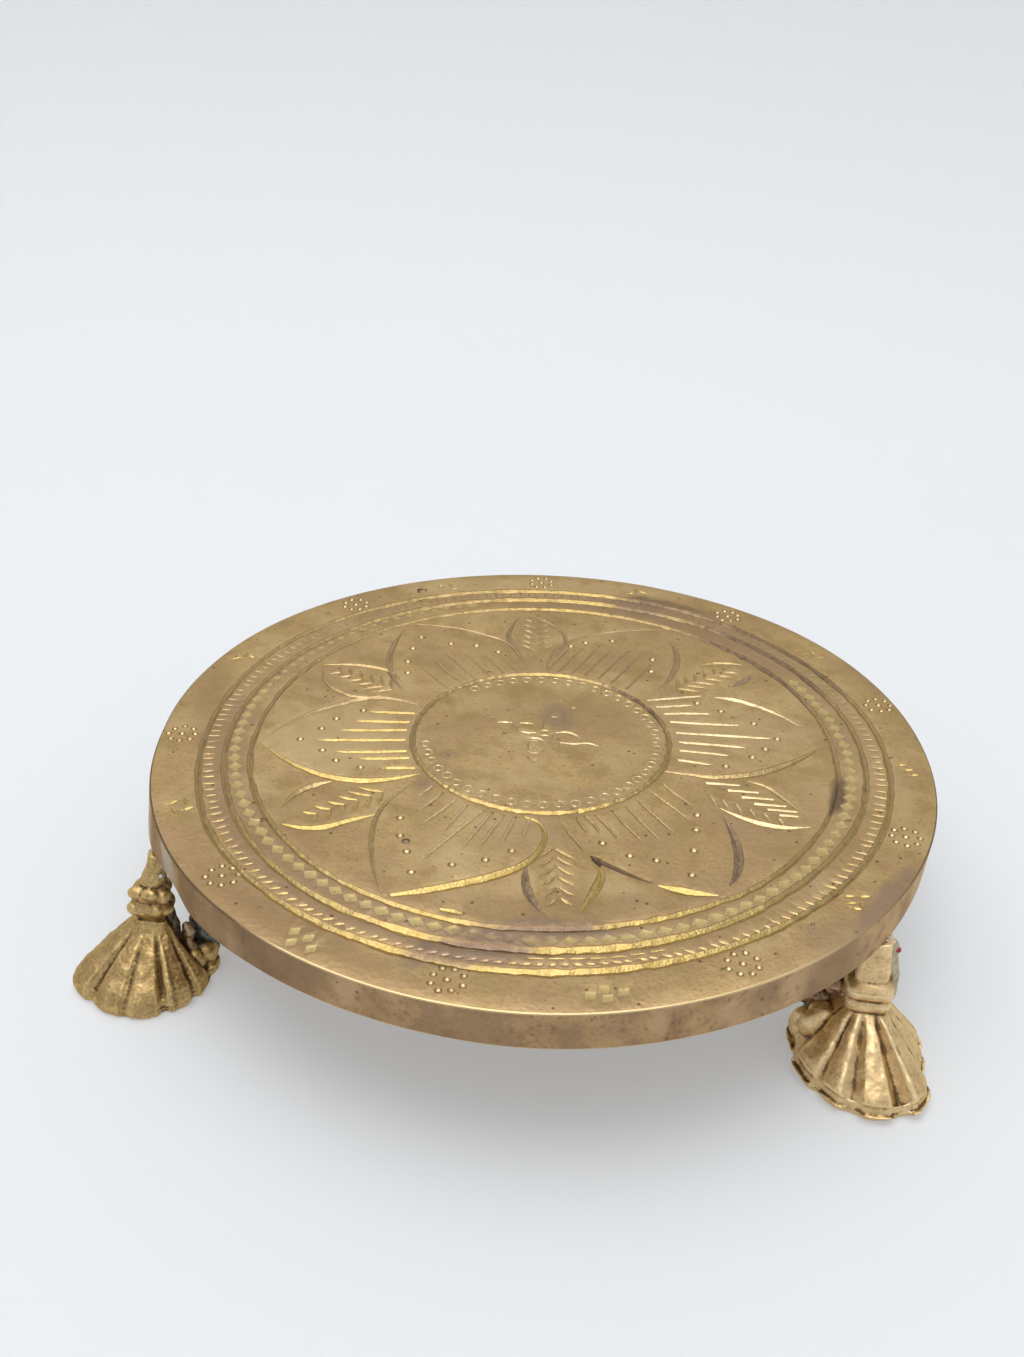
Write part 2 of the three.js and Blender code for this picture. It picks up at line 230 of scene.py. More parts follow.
lamps = [
    ("overhead", (-0.15, 0.05, 1.15), (0, 0, 0), 1.4, 9.5),
    ("backdrop_wash", (0, -0.5, 1.3), (0, 0.4, 0.35), 0.8, 2.5),
]
for name, place, target, size, power in lamps:
    deselect_all()
    bpy.ops.object.light_add(type="AREA", location=place)
    lamp = bpy.context.object
    lamp.name = name
    lamp.data.shape = "DISK"
    lamp.data.size = size
    lamp.data.energy = power
    lamp.rotation_euler = (Vector(target) - Vector(place)).to_track_quat("-Z", "Y").to_euler()
print("lamps:", ", ".join(lamp[0] for lamp in lamps))

# %% [markdown]
# ## The finishes
# Old brass that is handled but not polished goes a dull tan, with brown where dirt and wax stay.
# Only where a chisel or a punch cut it is it still yellow. Each finish is a metal with a colour
# that wanders at three scales, a roughness that wanders with it, and a fine grain in its bump.
# The scales are in waves per metre, so 200 gives patches of about 5 mm.

# %% Tools for a metal's patterns
def mapped(finish, kind, middle=(0, 0, 0), degrees=0, size=(1, 1, 1)):
    """The finish's coordinates, moved, turned and scaled by a Mapping node."""
    sockets = {0: finish["place"], 1: middle, 2: (0, 0, math.radians(degrees)), 3: size}
    return add_node(finish["tree"], "ShaderNodeMapping", sockets, vector_type=kind).outputs[0]


def cloud(finish, scale, detail, place=None):
    """A cloudy value at each point."""
    sockets = {"Vector": place or finish["place"], "Scale": scale, "Detail": detail}
    return add_node(finish["tree"], "ShaderNodeTexNoise", sockets).outputs[0]


def streaks(finish, degrees, waves, detail):
    """Fine scratches that lie one way: a cloud on stretched coordinates."""
    return cloud(finish, 1, detail, mapped(finish, "POINT", degrees=degrees, size=waves))


def cells(finish, scale):
    """How far each point is from the nearest of many scattered spots."""
    sockets = {"Vector": finish["place"], "Scale": scale}
    return add_node(finish["tree"], "ShaderNodeTexVoronoi", sockets).outputs[0]


def recolour(finish, share, colour):
    """Lays a colour over a finish, by a share from 0 to 1 at each point."""
    finish["colour"] = mix_colours(finish["tree"], share, finish["colour"], (*colour, 1))
    plug(finish["tree"], finish["shader"], {"Base Color": finish["colour"]})


def wash(finish, value, low, high, most, colour):
    """Lays a colour over a finish as a value goes from low to high, up to a greatest share."""
    recolour(finish, spread(finish["tree"], value, low, high, 0, most), colour)


def wandering_metal(name, colours, roughness, grain, drift=30, patches=260, specks=2200):
    """A metal whose colour drifts between four tones. It gives back its parts for more layers."""
    sockets = {"Metallic": 1.0, "Specular Tint": (0.95, 0.82, 0.6, 1)}
    material, tree, shader = new_material(name, sockets)
    place = add_node(tree, "ShaderNodeTexCoord").outputs["Object"]
    finish = {"material": material, "tree": tree, "shader": shader, "place": place}
    patch, speck = cloud(finish, patches, 5), cloud(finish, specks, 3)
    finish["colour"] = (*colours[0], 1)
    wash(finish, cloud(finish, drift, 4), 0.38, 0.62, 1, colours[1])
    wash(finish, patch, 0.5, 0.72, 0.8, colours[2])
    wash(finish, speck, 0.52, 0.74, 0.6, colours[3])
    bump = add_node(tree, "ShaderNodeBump", {"Height": speck, "Distance": grain}).outputs[0]
    plug(tree, shader, {"Roughness": spread(tree, patch, 0.3, 0.7, *roughness), "Normal": bump})
    finish.update(patch=patch, bump=bump)
    return finish


def stipple(finish, spacing, depth):
    """Adds small round dents to the bump of a finish, one for each spacing."""
    sockets = {"Height": cells(finish, 1 / spacing), "Distance": depth, "Normal": finish["bump"]}
    finish["bump"] = add_node(finish["tree"], "ShaderNodeBump", sockets).outputs[0]
    plug(finish["tree"], finish["shader"], {"Normal": finish["bump"]})


# %% Stains on the plate
# Each stain is a soft ellipse: its middle in shares of the plate's radius, its half sizes, its
# turn in degrees, and how dark it goes.
lotus_turn_degrees = 9
stains = [
    (-0.16, -0.822, 0.16, 0.05, 4, 1.0), (-0.02, -0.757, 0.17, 0.034, 3, 0.95),
    (0.045, 0.11, 0.05, 0.065, 15, 0.6), (0.75, -0.63, 0.03, 0.17, -40, 0.8),
    (0.32, 0.78, 0.09, 0.06, -20, 0.8), (0.6, -0.75, 0.09, 0.04, 35, 0.4),
    (-0.3, -0.22, 0.025, 0.03, 0, 0.5), (-0.24, -0.085, 0.03, 0.02, 0, 0.4),
]
dirt_colour = (0.31, 0.215, 0.145)
soot_marks = [(0.725, -0.235, 0.022, 0.085, -17, 0.8), (0.42, 0.79, 0.16, 0.03, -24, 0.5)]
soot_colour = (0.13, 0.09, 0.07)
# Lighter patches on the face, partly wear and partly a painted sheen.
worn_and_sheen_patches = [
    (-0.52, 0.0, 0.2, 0.17, 0, 0.55), (0.5, 0.06, 0.2, 0.15, 0, 0.4), (0.0, 0.9, 0.5, 0.08, 0, 0.5),
    (-0.15, -0.45, 0.2, 0.1, 30, 0.25), (0.86, -0.1, 0.06, 0.3, 0, 0.3),
]
brown_clouds = [
    (-0.55, -0.79, 0.5, 0.1, -36, 0.75), (-0.2, -0.93, 0.45, 0.07, -8, 0.4),
    (-0.62, -0.42, 0.16, 0.1, -40, 0.5), (0.0, -0.69, 0.3, 0.06, 0, 0.6),
    (0.42, 0.6, 0.18, 0.12, -30, 0.35), (0.62, -0.32, 0.12, 0.2, 20, 0.3), (-0.9, 0.2, 0.05, 0.3, 10, 0.4),
    (0.0, 0.15, 0.18, 0.1, 10, 0.25),
]


def turned(along, across, degrees):
    """A point given along and across an axis that points at an angle."""
    angle = math.radians(degrees)
    return (
        along * math.cos(angle) - across * math.sin(angle),
        along * math.sin(angle) + across * math.cos(angle),
    )


def plate_point(across, away):
    """A point on the plate from shares of its radius, across and away from the camera."""
    x, y = turned(across, away, lotus_turn_degrees)
    return Vector((plate_axis.x + plate_radius * x, plate_axis.y + plate_radius * y, 0))


def distance(tree, place):
    """The length of a vector."""
    return add_node(tree, "ShaderNodeVectorMath", {0: place}, operation="LENGTH").outputs[1]


def stain_share(finish, marks):
    """How far each point lies inside the marks, from 0 to 1, with ragged edges."""
    tree = finish["tree"]
    ragged = maths(tree, "MULTIPLY", finish["patch"], 1.6)
    total = None
    for across, away, half_long, half_wide, degrees, strength in marks:
        half_sizes = (half_long * plate_radius, half_wide * plate_radius, 1)
        turn = degrees + lotus_turn_degrees
        reach = distance(tree, mapped(finish, "TEXTURE", plate_point(across, away), turn, half_sizes))
        share = spread(tree, maths(tree, "ADD", reach, ragged), 2.05, 1.4, 0, strength)
        total = share if total is None else maths(tree, "MAXIMUM", total, share)
    return total


def round_plate_share(finish, tones):
    """A share that changes with the bearing round the plate, from a table of bearing and share."""
    place = mapped(finish, "TEXTURE", plate_point(0, 0), lotus_turn_degrees)
    turn = add_node(finish["tree"], "ShaderNodeTexGradient", {0: place}, gradient_type="RADIAL").outputs[1]
    ramp = add_node(finish["tree"], "ShaderNodeValToRGB", {0: turn})
    stops = ramp.color_ramp.elements
    for degrees, _ in tones[1:-1]:
        stops.new((degrees + 180) / 360)
    for stop, (_, share) in zip(stops, tones):
        stop.color = (share, share, share, 1)
    return ramp.outputs[0]


# %% The plate's filed face
face_tones = [(0.57, 0.395, 0.185), (0.49, 0.33, 0.155), (0.38, 0.25, 0.115), (0.24, 0.15, 0.075)]
face = wandering_metal("filed_face", face_tones, (0.36, 0.52), 0.05 * mm, drift=24, patches=190, specks=1500)
stipple(face, 1.3 * mm, 0.05 * mm)
wash(face, streaks(face, 24, (90, 2600, 90), 2), 0.6, 0.8, 0.3, (0.66, 0.48, 0.26))
blotch = cloud(face, 75, 7)
wash(face, blotch, 0.5, 0.62, 0.55, (0.43, 0.285, 0.165))
wash(face, blotch, 0.48, 0.36, 0.5, (0.62, 0.45, 0.245))
wash(face, cloud(face, 140, 6), 0.52, 0.64, 0.5, (0.37, 0.265, 0.105))
wash(face, streaks(face, -38, (70, 1500, 70), 3), 0.6, 0.78, 0.3, (0.33, 0.215, 0.12))
recolour(face, stain_share(face, worn_and_sheen_patches), (0.64, 0.475, 0.26))

# The band between the ring lines is darker than the rest of the face.
tree = face["tree"]
plate_middle = (*plate_point(0, 0).to_2d(), plate_top)
reach = distance(tree, mapped(face, "TEXTURE", plate_middle, size=[plate_radius] * 3))
reach = maths(tree, "MULTIPLY_ADD", maths(tree, "SUBTRACT", face["patch"], 0.5), 0.03, reach)
in_band = maths(tree, "MULTIPLY", spread(tree, reach, 0.755, 0.775), spread(tree, reach, 0.885, 0.865))
band_tones = [
    (-180, 0.5), (-150, 0.75), (-120, 0.7), (-95, 0.45), (-60, 0.2), (-20, 0.15), (20, 0.5), (50, 0.75),
    (80, 0.5), (110, 0.15), (150, 0.25), (180, 0.5),
]
in_band = maths(tree, "MULTIPLY", in_band, round_plate_share(face, band_tones))
recolour(face, in_band, (0.37, 0.25, 0.15))
recolour(face, stain_share(face, brown_clouds), (0.36, 0.235, 0.12))
wash(face, cells(face, 260), 0.11, 0.06, 0.8, (0.10, 0.06, 0.03))
recolour(face, stain_share(face, stains), dirt_colour)
recolour(face, stain_share(face, soot_marks), soot_colour)

# %% The plate's turned side and its edge, with painted shade and a painted highlight
side_tones = [(0.47, 0.31, 0.155), (0.42, 0.275, 0.135), (0.29, 0.18, 0.10), (0.17, 0.105, 0.065)]
side = wandering_metal("turned_side", side_tones, (0.4, 0.56), 0.06 * mm, drift=45, patches=170, specks=1300)
# By bearing round the plate, the side is darker at the left and front left, partly dirt and partly painted
# shade, and lighter at the front right, as a painted highlight.
side_dirt_and_shade_tones = [(-180, 0.75), (-150, 0.6), (-125, 0.35), (-100, 0.1), (-60, 0), (150, 0), (180, 0.75)]
side_painted_light_tones = [(-180, 0), (-75, 0), (-55, 0.5), (-25, 0.7), (0, 0.4), (20, 0), (180, 0)]
solder_smears = [(-0.965, -0.29, 0.04, 0.1, -20, 0.9), (-0.87, -0.5, 0.04, 0.06, -30, 0.8)]
side_stains = [
    (-0.8, -0.6, 0.05, 0.1, -40, 0.8), (-0.6, -0.8, 0.12, 0.03, -30, 0.6), (0.62, -0.8, 0.1, 0.03, 30, 0.5),
]
recolour(side, round_plate_share(side, side_dirt_and_shade_tones), (0.26, 0.175, 0.11))
recolour(side, round_plate_share(side, side_painted_light_tones), (0.58, 0.415, 0.26))
blotch = cloud(side, 130, 8)
wash(side, blotch, 0.5, 0.6, 0.55, (0.27, 0.175, 0.11))
wash(side, blotch, 0.46, 0.36, 0.5, (0.55, 0.38, 0.23))
wash(side, cloud(side, 520, 4), 0.6, 0.72, 0.6, (0.17, 0.105, 0.07))
recolour(side, stain_share(side, solder_smears), (0.48, 0.43, 0.4))
recolour(side, stain_share(side, side_stains), (0.2, 0.125, 0.08))
wash(side, cells(side, 230), 0.11, 0.06, 0.6, (0.12, 0.075, 0.05))
# The bevelled edge is coloured dark to hold back its reflection, as painted shade, and a painted highlight
# runs along its front.
edge_painted_shade_tones = [(0.19, 0.125, 0.075), (0.17, 0.11, 0.065), (0.14, 0.09, 0.05), (0.10, 0.065, 0.04)]
edge_highlight_finish = wandering_metal("edge_with_painted_highlight", edge_painted_shade_tones, (0.28, 0.42), 0.03 * mm, patches=400)
edge_highlight_tones = [(-180, 0.0), (-132, 0.0), (-122, 0.9), (-60, 0.9), (-48, 0.45), (-30, 0.1), (180, 0.1)]
recolour(edge_highlight_finish, round_plate_share(edge_highlight_finish, edge_highlight_tones), (0.70, 0.52, 0.27))

# %% Brass where it is cut
# Each entry has the tones of a cut, its roughness, its grain in mm and its patches and specks.
bright_tones = [(0.56, 0.415, 0.155), (0.5, 0.365, 0.13), (0.45, 0.32, 0.105), (0.26, 0.17, 0.06)]
pale_tones = [(0.64, 0.49, 0.28), (0.57, 0.43, 0.235), (0.49, 0.37, 0.2), (0.3, 0.2, 0.1)]
lozenge_tones = [(0.66, 0.5, 0.23), (0.6, 0.45, 0.2), (0.52, 0.385, 0.16), (0.36, 0.25, 0.11)]
soft_tones = [(0.5, 0.365, 0.175), (0.45, 0.32, 0.145), (0.37, 0.26, 0.11), (0.22, 0.145, 0.065)]
dull_tones = [(0.46, 0.33, 0.185), (0.41, 0.285, 0.155), (0.33, 0.225, 0.115), (0.2, 0.13, 0.075)]
soot_tones = [(0.15, 0.1, 0.065), (0.12, 0.08, 0.05), (0.19, 0.125, 0.07), (0.06, 0.04, 0.03)]
tarnish_tones = [(0.37, 0.27, 0.175), (0.28, 0.2, 0.135), (0.43, 0.315, 0.185), (0.13, 0.09, 0.065)]
# The lip finish is dark: partly dirt, and partly painted shade beside the cuts and round the dots.
lip_dirt_and_shade_tones = [(0.3, 0.19, 0.085), (0.25, 0.155, 0.07), (0.38, 0.25, 0.12), (0.13, 0.08, 0.04)]
cut_finishes = [
    ("bright_cut", bright_tones, (0.32, 0.46), 0.05, 500, 1500),
    ("pale_cut", pale_tones, (0.26, 0.4), 0.05, 500, 1500),
    ("lozenge_cut", lozenge_tones, (0.3, 0.42), 0.05, 500, 1500),
    ("soft_cut", soft_tones, (0.28, 0.42), 0.05, 500, 1500),
    ("dull_cut", dull_tones, (0.3, 0.45), 0.05, 500, 1500),
    ("dark_cut", tarnish_tones, (0.45, 0.6), 0.05, 500, 1500),
    ("soot_cut", soot_tones, (0.5, 0.65), 0.05, 500, 1500),
    ("lip_dirt_and_shade", lip_dirt_and_shade_tones, (0.35, 0.5), 0.04, 500, 1500),
    ("ring_cut", bright_tones, (0.32, 0.46), 0.05, 420, 1300),
]
cuts = {
    name: wandering_metal(name, tones, roughness, grain * mm, patches=patches, specks=specks)
    for name, tones, roughness, grain, patches, specks in cut_finishes
}
for name in ("bright_cut", "lozenge_cut", "soft_cut"):
    recolour(cuts[name], stain_share(cuts[name], stains), dirt_colour)
# How bright the ring lines stay at each bearing: lighter at the front and the back as painted highlight,
# darker at the sides, partly tarnish and partly painted shade.
ring_sheen_and_tarnish_tones = [
    (-180, 0.35), (-163, 0.4), (-150, 0.55), (-130, 0.6), (-112, 0.85), (-66, 0.95), (-52, 0.6),
    (-20, 0.45), (8, 0.4), (20, 0.08), (52, 0.0), (58, 0.35), (72, 0.5), (76, 0.8), (94, 0.8), (102, 0.55),
    (140, 0.45), (160, 0.35), (180, 0.35),
]
ring_soot_tones = [(-180, 0), (14, 0), (24, 0.75), (46, 0.85), (56, 0.2), (64, 0), (180, 0)]
ring_cut = cuts["ring_cut"]
tree = ring_cut["tree"]
ring_wear = maths(tree, "MULTIPLY_ADD", ring_cut["patch"], 1.2, -0.6)
ring_sheen_and_tarnish = maths(tree, "ADD", round_plate_share(ring_cut, ring_sheen_and_tarnish_tones), ring_wear)
recolour(ring_cut, maths(tree, "SUBTRACT", 1.0, ring_sheen_and_tarnish, clamp=True), (0.31, 0.215, 0.125))
recolour(ring_cut, round_plate_share(ring_cut, ring_soot_tones), (0.15, 0.10, 0.065))
recolour(ring_cut, stain_share(ring_cut, stains), (0.19, 0.13, 0.09))
recolour(ring_cut, stain_share(ring_cut, soot_marks), soot_colour)
for name in ("bright_cut", "pale_cut", "soft_cut", "ring_cut"):
    stipple(cuts[name], 0.55 * mm, 0.06 * mm)
stipple(cuts["dark_cut"], 0.8 * mm, 0.15 * mm)
print("cuts:", ", ".join(cuts))

# %% [markdown]
# ## The plate's body
# The real plate was cast in sand, turned and filed. Its face isn't quite flat and its rim isn't
# quite round. It starts as a cylinder. The face and the underside are inset ring by ring, so
# that they have points to move, the two edges are bevelled, and then every point is moved a
# little by a slow noise.

# %% Tools for smooth and for wavering values
def waver(*place):
    """A smooth noise between about -1 and 1."""
    return noise.noise(Vector(place))


def held(value, low=0, high=1):
    """A value kept between two limits."""
    return max(low, min(high, value))


def eased(table, value):
    """Reads a table of pairs at a value along a smooth curve."""
    places, values = zip(*table)
    last = len(table) - 1
    i = next((i for i in range(last) if value <= places[i + 1]), last - 1)
    span = places[i + 1] - places[i]
    share = held((value - places[i]) / span)
    before, after = max(0, i - 1), min(last, i + 2)
    slope_in = (values[i + 1] - values[before]) / (places[i + 1] - places[before]) * span
    slope_out = (values[after] - values[i]) / (places[after] - places[i]) * span
    square, cube = share**2, share**3
    return (
        (2 * cube - 3 * square + 1) * values[i]
        + (cube - 2 * square + share) * slope_in
        + (3 * square - 2 * cube) * values[i + 1]
        + (cube - square) * slope_out
    )


# %% Plate blank
# The rim was filed by eye. Its reach, in shares of the radius, is given at bearings seen from the
# camera's side, once for the upper edge and once for the lower edge.
upper_rim = [
    (-180, 0.991), (-168, 0.996), (-150, 1.002), (-120, 1.0), (-92, 1.003), (-60, 0.999), (-20, 1.0),
    (0, 1.0), (18, 1.006), (38, 1.01), (60, 1.002), (100, 1.002), (140, 1.006), (162, 0.998), (180, 0.991),
]
lower_rim = [
    (-180, 0.994), (-172, 1.0), (-164, 1.01), (-157, 1.014), (-151, 1.003), (-147, 1.002), (-141, 1.012),
    (-128, 1.005), (-110, 1.001), (-92, 1.006), (-60, 1.006), (-46, 1.006), (-34, 0.998), (-22, 0.994),
    (-5, 0.998), (38, 1.002), (100, 1.0), (160, 0.994), (180, 0.994),
]
plate_sides = 216
rim_bevel = 0.32 * mm
face_ring_step = 3.6 * mm
face_ring_count = 20
face_sag = 0.2 * mm
rim_wander = 0.1 * mm


def face_drop(x, y):
    """How far the hand-filed face lies below the highest point of the plate."""
    slow, quick = waver(x * 28, y * 28, 3.7), waver(x * 90, y * 90, 9.1)
    return face_sag * (0.5 + 0.5 * slow) + 0.12 * face_sag * (1 + quick)


def select_level_faces(mesh, height):
    """Selects the flat faces at one height, with the object in edit mode."""
    bpy.ops.mesh.select_all(action="DESELECT")
    work = bmesh.from_edit_mesh(mesh)
    for polygon in work.faces:
        level = abs(polygon.normal.z) > 0.99
        polygon.select_set(level and abs(polygon.calc_center_median().z - height) < 0.1 * mm)
    bmesh.update_edit_mesh(mesh)


deselect_all()
bpy.ops.mesh.primitive_cylinder_add(
    vertices=plate_sides, radius=plate_radius, depth=plate_top - plate_bottom, location=plate_axis
)
plate = settle(bpy.context.object, "chased_plate")
bpy.ops.object.mode_set(mode="EDIT")
select_edges(plate.data, lambda a, b: abs(a.z - b.z) < 0.1 * mm)
bpy.ops.mesh.bevel(offset=rim_bevel, segments=2, profile=0.5)
bpy.ops.mesh.select_mode(type="FACE")
for height in (plate_top, plate_bottom):
    select_level_faces(plate.data, height)
    for _ in range(face_ring_count):
        bpy.ops.mesh.inset(thickness=face_ring_step)
    bpy.ops.mesh.poke()
bpy.ops.object.mode_set(mode="OBJECT")

# %% File the face by hand
for finish in (face, side, edge_highlight_finish):
    plate.data.materials.append(finish["material"])
for polygon in plate.data.polygons:
    steepness = abs(polygon.normal.z)
    polygon.material_index = 1 if steepness < 0.2 else 2 if steepness < 0.97 else 0
for point in plate.data.vertices:
    x, y, z = point.co
    out = Vector((x - plate_axis.x, y - plate_axis.y))
    wander = waver(x * 35, y * 35, 1.3) + 0.4 * waver(x * 110, y * 110, z * 60)
    near_rim = min(1, out.length / plate_radius) ** 8
    share_up = (z - plate_bottom) / (plate_top - plate_bottom)
    bearing = (math.degrees(math.atan2(out.y, out.x)) - lotus_turn_degrees + 180) % 360 - 180
    rim_reach = share_up * eased(upper_rim, bearing) + (1 - share_up) * eased(lower_rim, bearing)
    shift = out * ((rim_reach - 1 + rim_wander * 0.35 * wander / plate_radius) * near_rim)
    point.co.x += shift.x
    point.co.y += shift.y
    point.co.z += -face_drop(x, y) * share_up + 0.5 * face_drop(y, x) * (1 - share_up)
print("plate blank:", len(plate.data.polygons), "faces")

# %% [markdown]
# ## How the face is chased
# Every line on the plate was cut by hand with a graver, so none is quite straight. A stroke is
# drawn here as a Bezier curve with a width at each point. It carries the outline of the graver:
# a steep V with a shallow lip at each side. The lip is coloured dark, partly for dirt and partly as
# painted shade along the cut. The stroke is made a mesh and taken out of the plate. Strokes that
# would cross are cut one after another. The cut faces keep the finish of the tool.

# %% Graver
# Its outline is in half widths of a stroke: the lips, then the V between them.
graver_depth = 0.66
graver_lip = 1.34
graver_lip_depth = 0.1
right_half = [(1, -graver_lip_depth), (graver_lip, 0), (graver_lip, 0.4)]
left_half = [(-across, up) for across, up in reversed(right_half)]
corners = [*left_half, (0, -graver_depth), *right_half]
deselect_all()
graver_outline = bpy.data.curves.new("graver_outline", "CURVE")
graver_outline.dimensions = "2D"
outline = graver_outline.splines.new("POLY")
outline.points.add(len(corners) - 1)
outline.use_cyclic_u = True
for corner, (across, up) in zip(outline.points, corners):
    corner.co = (across * plate_radius, up * plate_radius, 0, 1)
graver = add_object("graver", graver_outline)
stroke_finishes = [
    cuts[name] for name in ("bright_cut", "dark_cut", "dull_cut", "soft_cut", "pale_cut", "soot_cut")
]


def cut_with(tool):
    """Takes a tool's shape out of the plate, and puts the tool away."""
    take_up(plate)
    modifier = plate.modifiers.new("cut", "BOOLEAN")
    modifier.operation = "DIFFERENCE"
    modifier.solver = "MANIFOLD"
    modifier.material_mode = "TRANSFER"
    modifier.object = tool
    bpy.ops.object.modifier_apply(modifier=modifier.name)
    print(tool.name, "left", len(plate.data.polygons), "faces on the plate")
    bpy.data.objects.remove(tool)


def chase(name, strokes, finishes=stroke_finishes, chatter=0.05 * mm, closed=False, steps=5):
    """Cuts strokes. Each is a list of points, their half widths and the number of its finish:
    0 bright, 1 dark, 2 dull, 3 soft, 4 pale, 5 soot."""
    curve = bpy.data.curves.new(name, "CURVE")
    curve.dimensions = "3D"
    curve.bevel_mode = "OBJECT"
    curve.bevel_object = graver
    curve.use_fill_caps = True
    curve.twist_mode = "Z_UP"
    curve.resolution_u = steps
    for finish in (*finishes, cuts["lip_dirt_and_shade"]):
        curve.materials.append(finish["material"])
    for points, half_widths, finish_number in strokes:
        spline = curve.splines.new("BEZIER")
        spline.bezier_points.add(len(points) - 1)
        spline.use_cyclic_u = closed
        spline.material_index = finish_number
        for knot, place, half_width in zip(spline.bezier_points, points, half_widths):
            knot.co = plate_point(*place)
            knot.radius = half_width
            knot.handle_left_type = knot.handle_right_type = "AUTO"
    take_up(add_object(name, curve))
    bpy.ops.object.convert(target="MESH")
    tool = bpy.context.object
    face_outwards(tool, 0.001 * mm)
    # The shallow lips of the stroke get the dark lip finish: dirt and painted shade beside the cut.
    for polygon in tool.data.polygons:
        if polygon.normal.z < -0.93:
            polygon.material_index = len(finishes)
    for point in tool.data.vertices:
        x, y, z = point.co
        spot = point.co * 900
        point.co.x += chatter * noise.noise(spot)
        point.co.y += chatter * noise.noise(spot.yzx)
        point.co.z = plate_top - face_drop(x, y) + z * (1 + 0.4 * noise.noise(spot.zxy)) + 0.01 * mm
    cut_with(tool)


def spindle(points, widest, finish_number=0, heavy_end=0.5, tail=0.14):
    """A stroke that swells to its widest at a share of its length."""
    last = len(points) - 1
    half_widths = []
    for share in [i / last for i in range(last + 1)]:
        past = (share - heavy_end) / (1 - heavy_end)
        eased_share = 0.5 * share / heavy_end if share < heavy_end else 0.5 + 0.5 * past
        half_widths.append(widest * max(tail, math.sin(math.pi * eased_share) ** 0.65))
    return points, half_widths, finish_number


def around(degrees, radius, middle=(0, 0)):
    """A point at an angle and a radius, both as the camera sees the plate."""
    angle = math.radians(degrees)
    return middle[0] + radius * math.cos(angle), middle[1] + radius * math.sin(angle)


def short_stroke(middle, degrees, half_length):
    """The ends and the middle of a straight stroke."""
    x, y = around(degrees, half_length)
    return [(middle[0] - x, middle[1] - y), middle, (middle[0] + x, middle[1] + y)]


# %% Ring lines
# Three lines run round the lotus and one round the medallion. None is a true circle: each table
# gives a line's radius at bearings round the plate, and a little noise is added. The lines are
# widest at the front and at the back. After its table, each has its least and greatest half width.
outer_ring = [
    (-180, 0.873), (-165, 0.881), (-150, 0.893), (-120, 0.893), (-90, 0.885), (-66, 0.879), (-45, 0.884),
    (-20, 0.887), (10, 0.89), (35, 0.886), (60, 0.884), (88, 0.876), (120, 0.883), (150, 0.886),
    (168, 0.876), (180, 0.873),
]
middle_ring = [
    (-180, 0.813), (-160, 0.819), (-138, 0.83), (-115, 0.829), (-90, 0.82), (-60, 0.815), (-44, 0.814),
    (-20, 0.826), (15, 0.831), (45, 0.83), (70, 0.82), (88, 0.815), (125, 0.813), (160, 0.812),
    (180, 0.813),
]
inner_ring = [
    (-180, 0.745), (-160, 0.755), (-135, 0.761), (-110, 0.76), (-80, 0.751), (-55, 0.755), (-30, 0.757),
    (10, 0.76), (45, 0.758), (75, 0.752), (100, 0.748), (130, 0.748), (160, 0.744), (180, 0.745),
]
medallion_ring = [(-180, 0.339), (-90, 0.333), (0, 0.33), (90, 0.34), (180, 0.339)]
ring_lines = [
    ("outer_line", outer_ring, 0.0064, 0.0108), ("middle_line", middle_ring, 0.0064, 0.0118),
    ("inner_line", inner_ring, 0.0058, 0.0088), ("medallion_line", medallion_ring, 0.0062, 0.008),
]
ring_knots = 180
for name, radii, narrow, wide in ring_lines:
    points = []
    half_widths = []
    for i in range(ring_knots):
        degrees = 360 * i / ring_knots - 180
        spot = Vector((*around(degrees, 3), 7 * narrow / 0.01))
        wander = 0.0028 * noise.noise(spot) + 0.0018 * noise.noise(6 * spot)
        points.append(around(degrees, eased(radii, degrees) + wander))
        half_width = narrow + (wide - narrow) * math.sin(math.radians(degrees)) ** 4
        half_width += 0.0025 * math.exp(-(((degrees - 38) / 16) ** 2)) if name != "medallion_line" else 0
        half_widths.append(half_width * (1 + 0.45 * noise.noise(11 * spot)))
    chase(name, [(points, half_widths, 0)], [ring_cut], 0.1 * mm, closed=True)

# %% Petals
# The six petals were drawn freehand. Each has two strokes that nearly meet at its tip. After its
# points, a stroke has its half width, the number of its finish, and how far along it is widest.
# Where strokes meet, they are in different groups, and the groups are cut one after another.
petals_first = [
    ([(-0.31, -0.178), (-0.38, -0.203), (-0.45, -0.213), (-0.52, -0.203), (-0.58, -0.178),
        (-0.65, -0.13), (-0.73, -0.05)], 0.0105, 0, 0.35),
    ([(-0.3, -0.19), (-0.34, -0.24), (-0.38, -0.3), (-0.4, -0.36), (-0.405, -0.43), (-0.4, -0.5),
        (-0.385, -0.58), (-0.365, -0.65)], 0.0054, 3, 0.5),
    ([(0.245, -0.6), (0.29, -0.614), (0.335, -0.624), (0.375, -0.63)], 0.0125, 0, 0.25),
    ([(0.305, -0.145), (0.36, -0.155), (0.42, -0.165), (0.48, -0.16), (0.54, -0.145), (0.6, -0.115),
        (0.66, -0.075), (0.73, -0.015)], 0.0098, 3, 0.62),
    ([(0.33, 0.27), (0.36, 0.31), (0.385, 0.37), (0.402, 0.44), (0.402, 0.51), (0.393, 0.555)],
        0.0075, 2, 0.5),
    ([(-0.38, 0.23), (-0.415, 0.3), (-0.433, 0.4), (-0.425, 0.5), (-0.405, 0.59)], 0.008, 2, 0.5),
    ([(0.03, -0.36), (0.055, -0.415), (0.08, -0.465), (0.09, -0.487)], 0.0045, 2, 0.5),
]
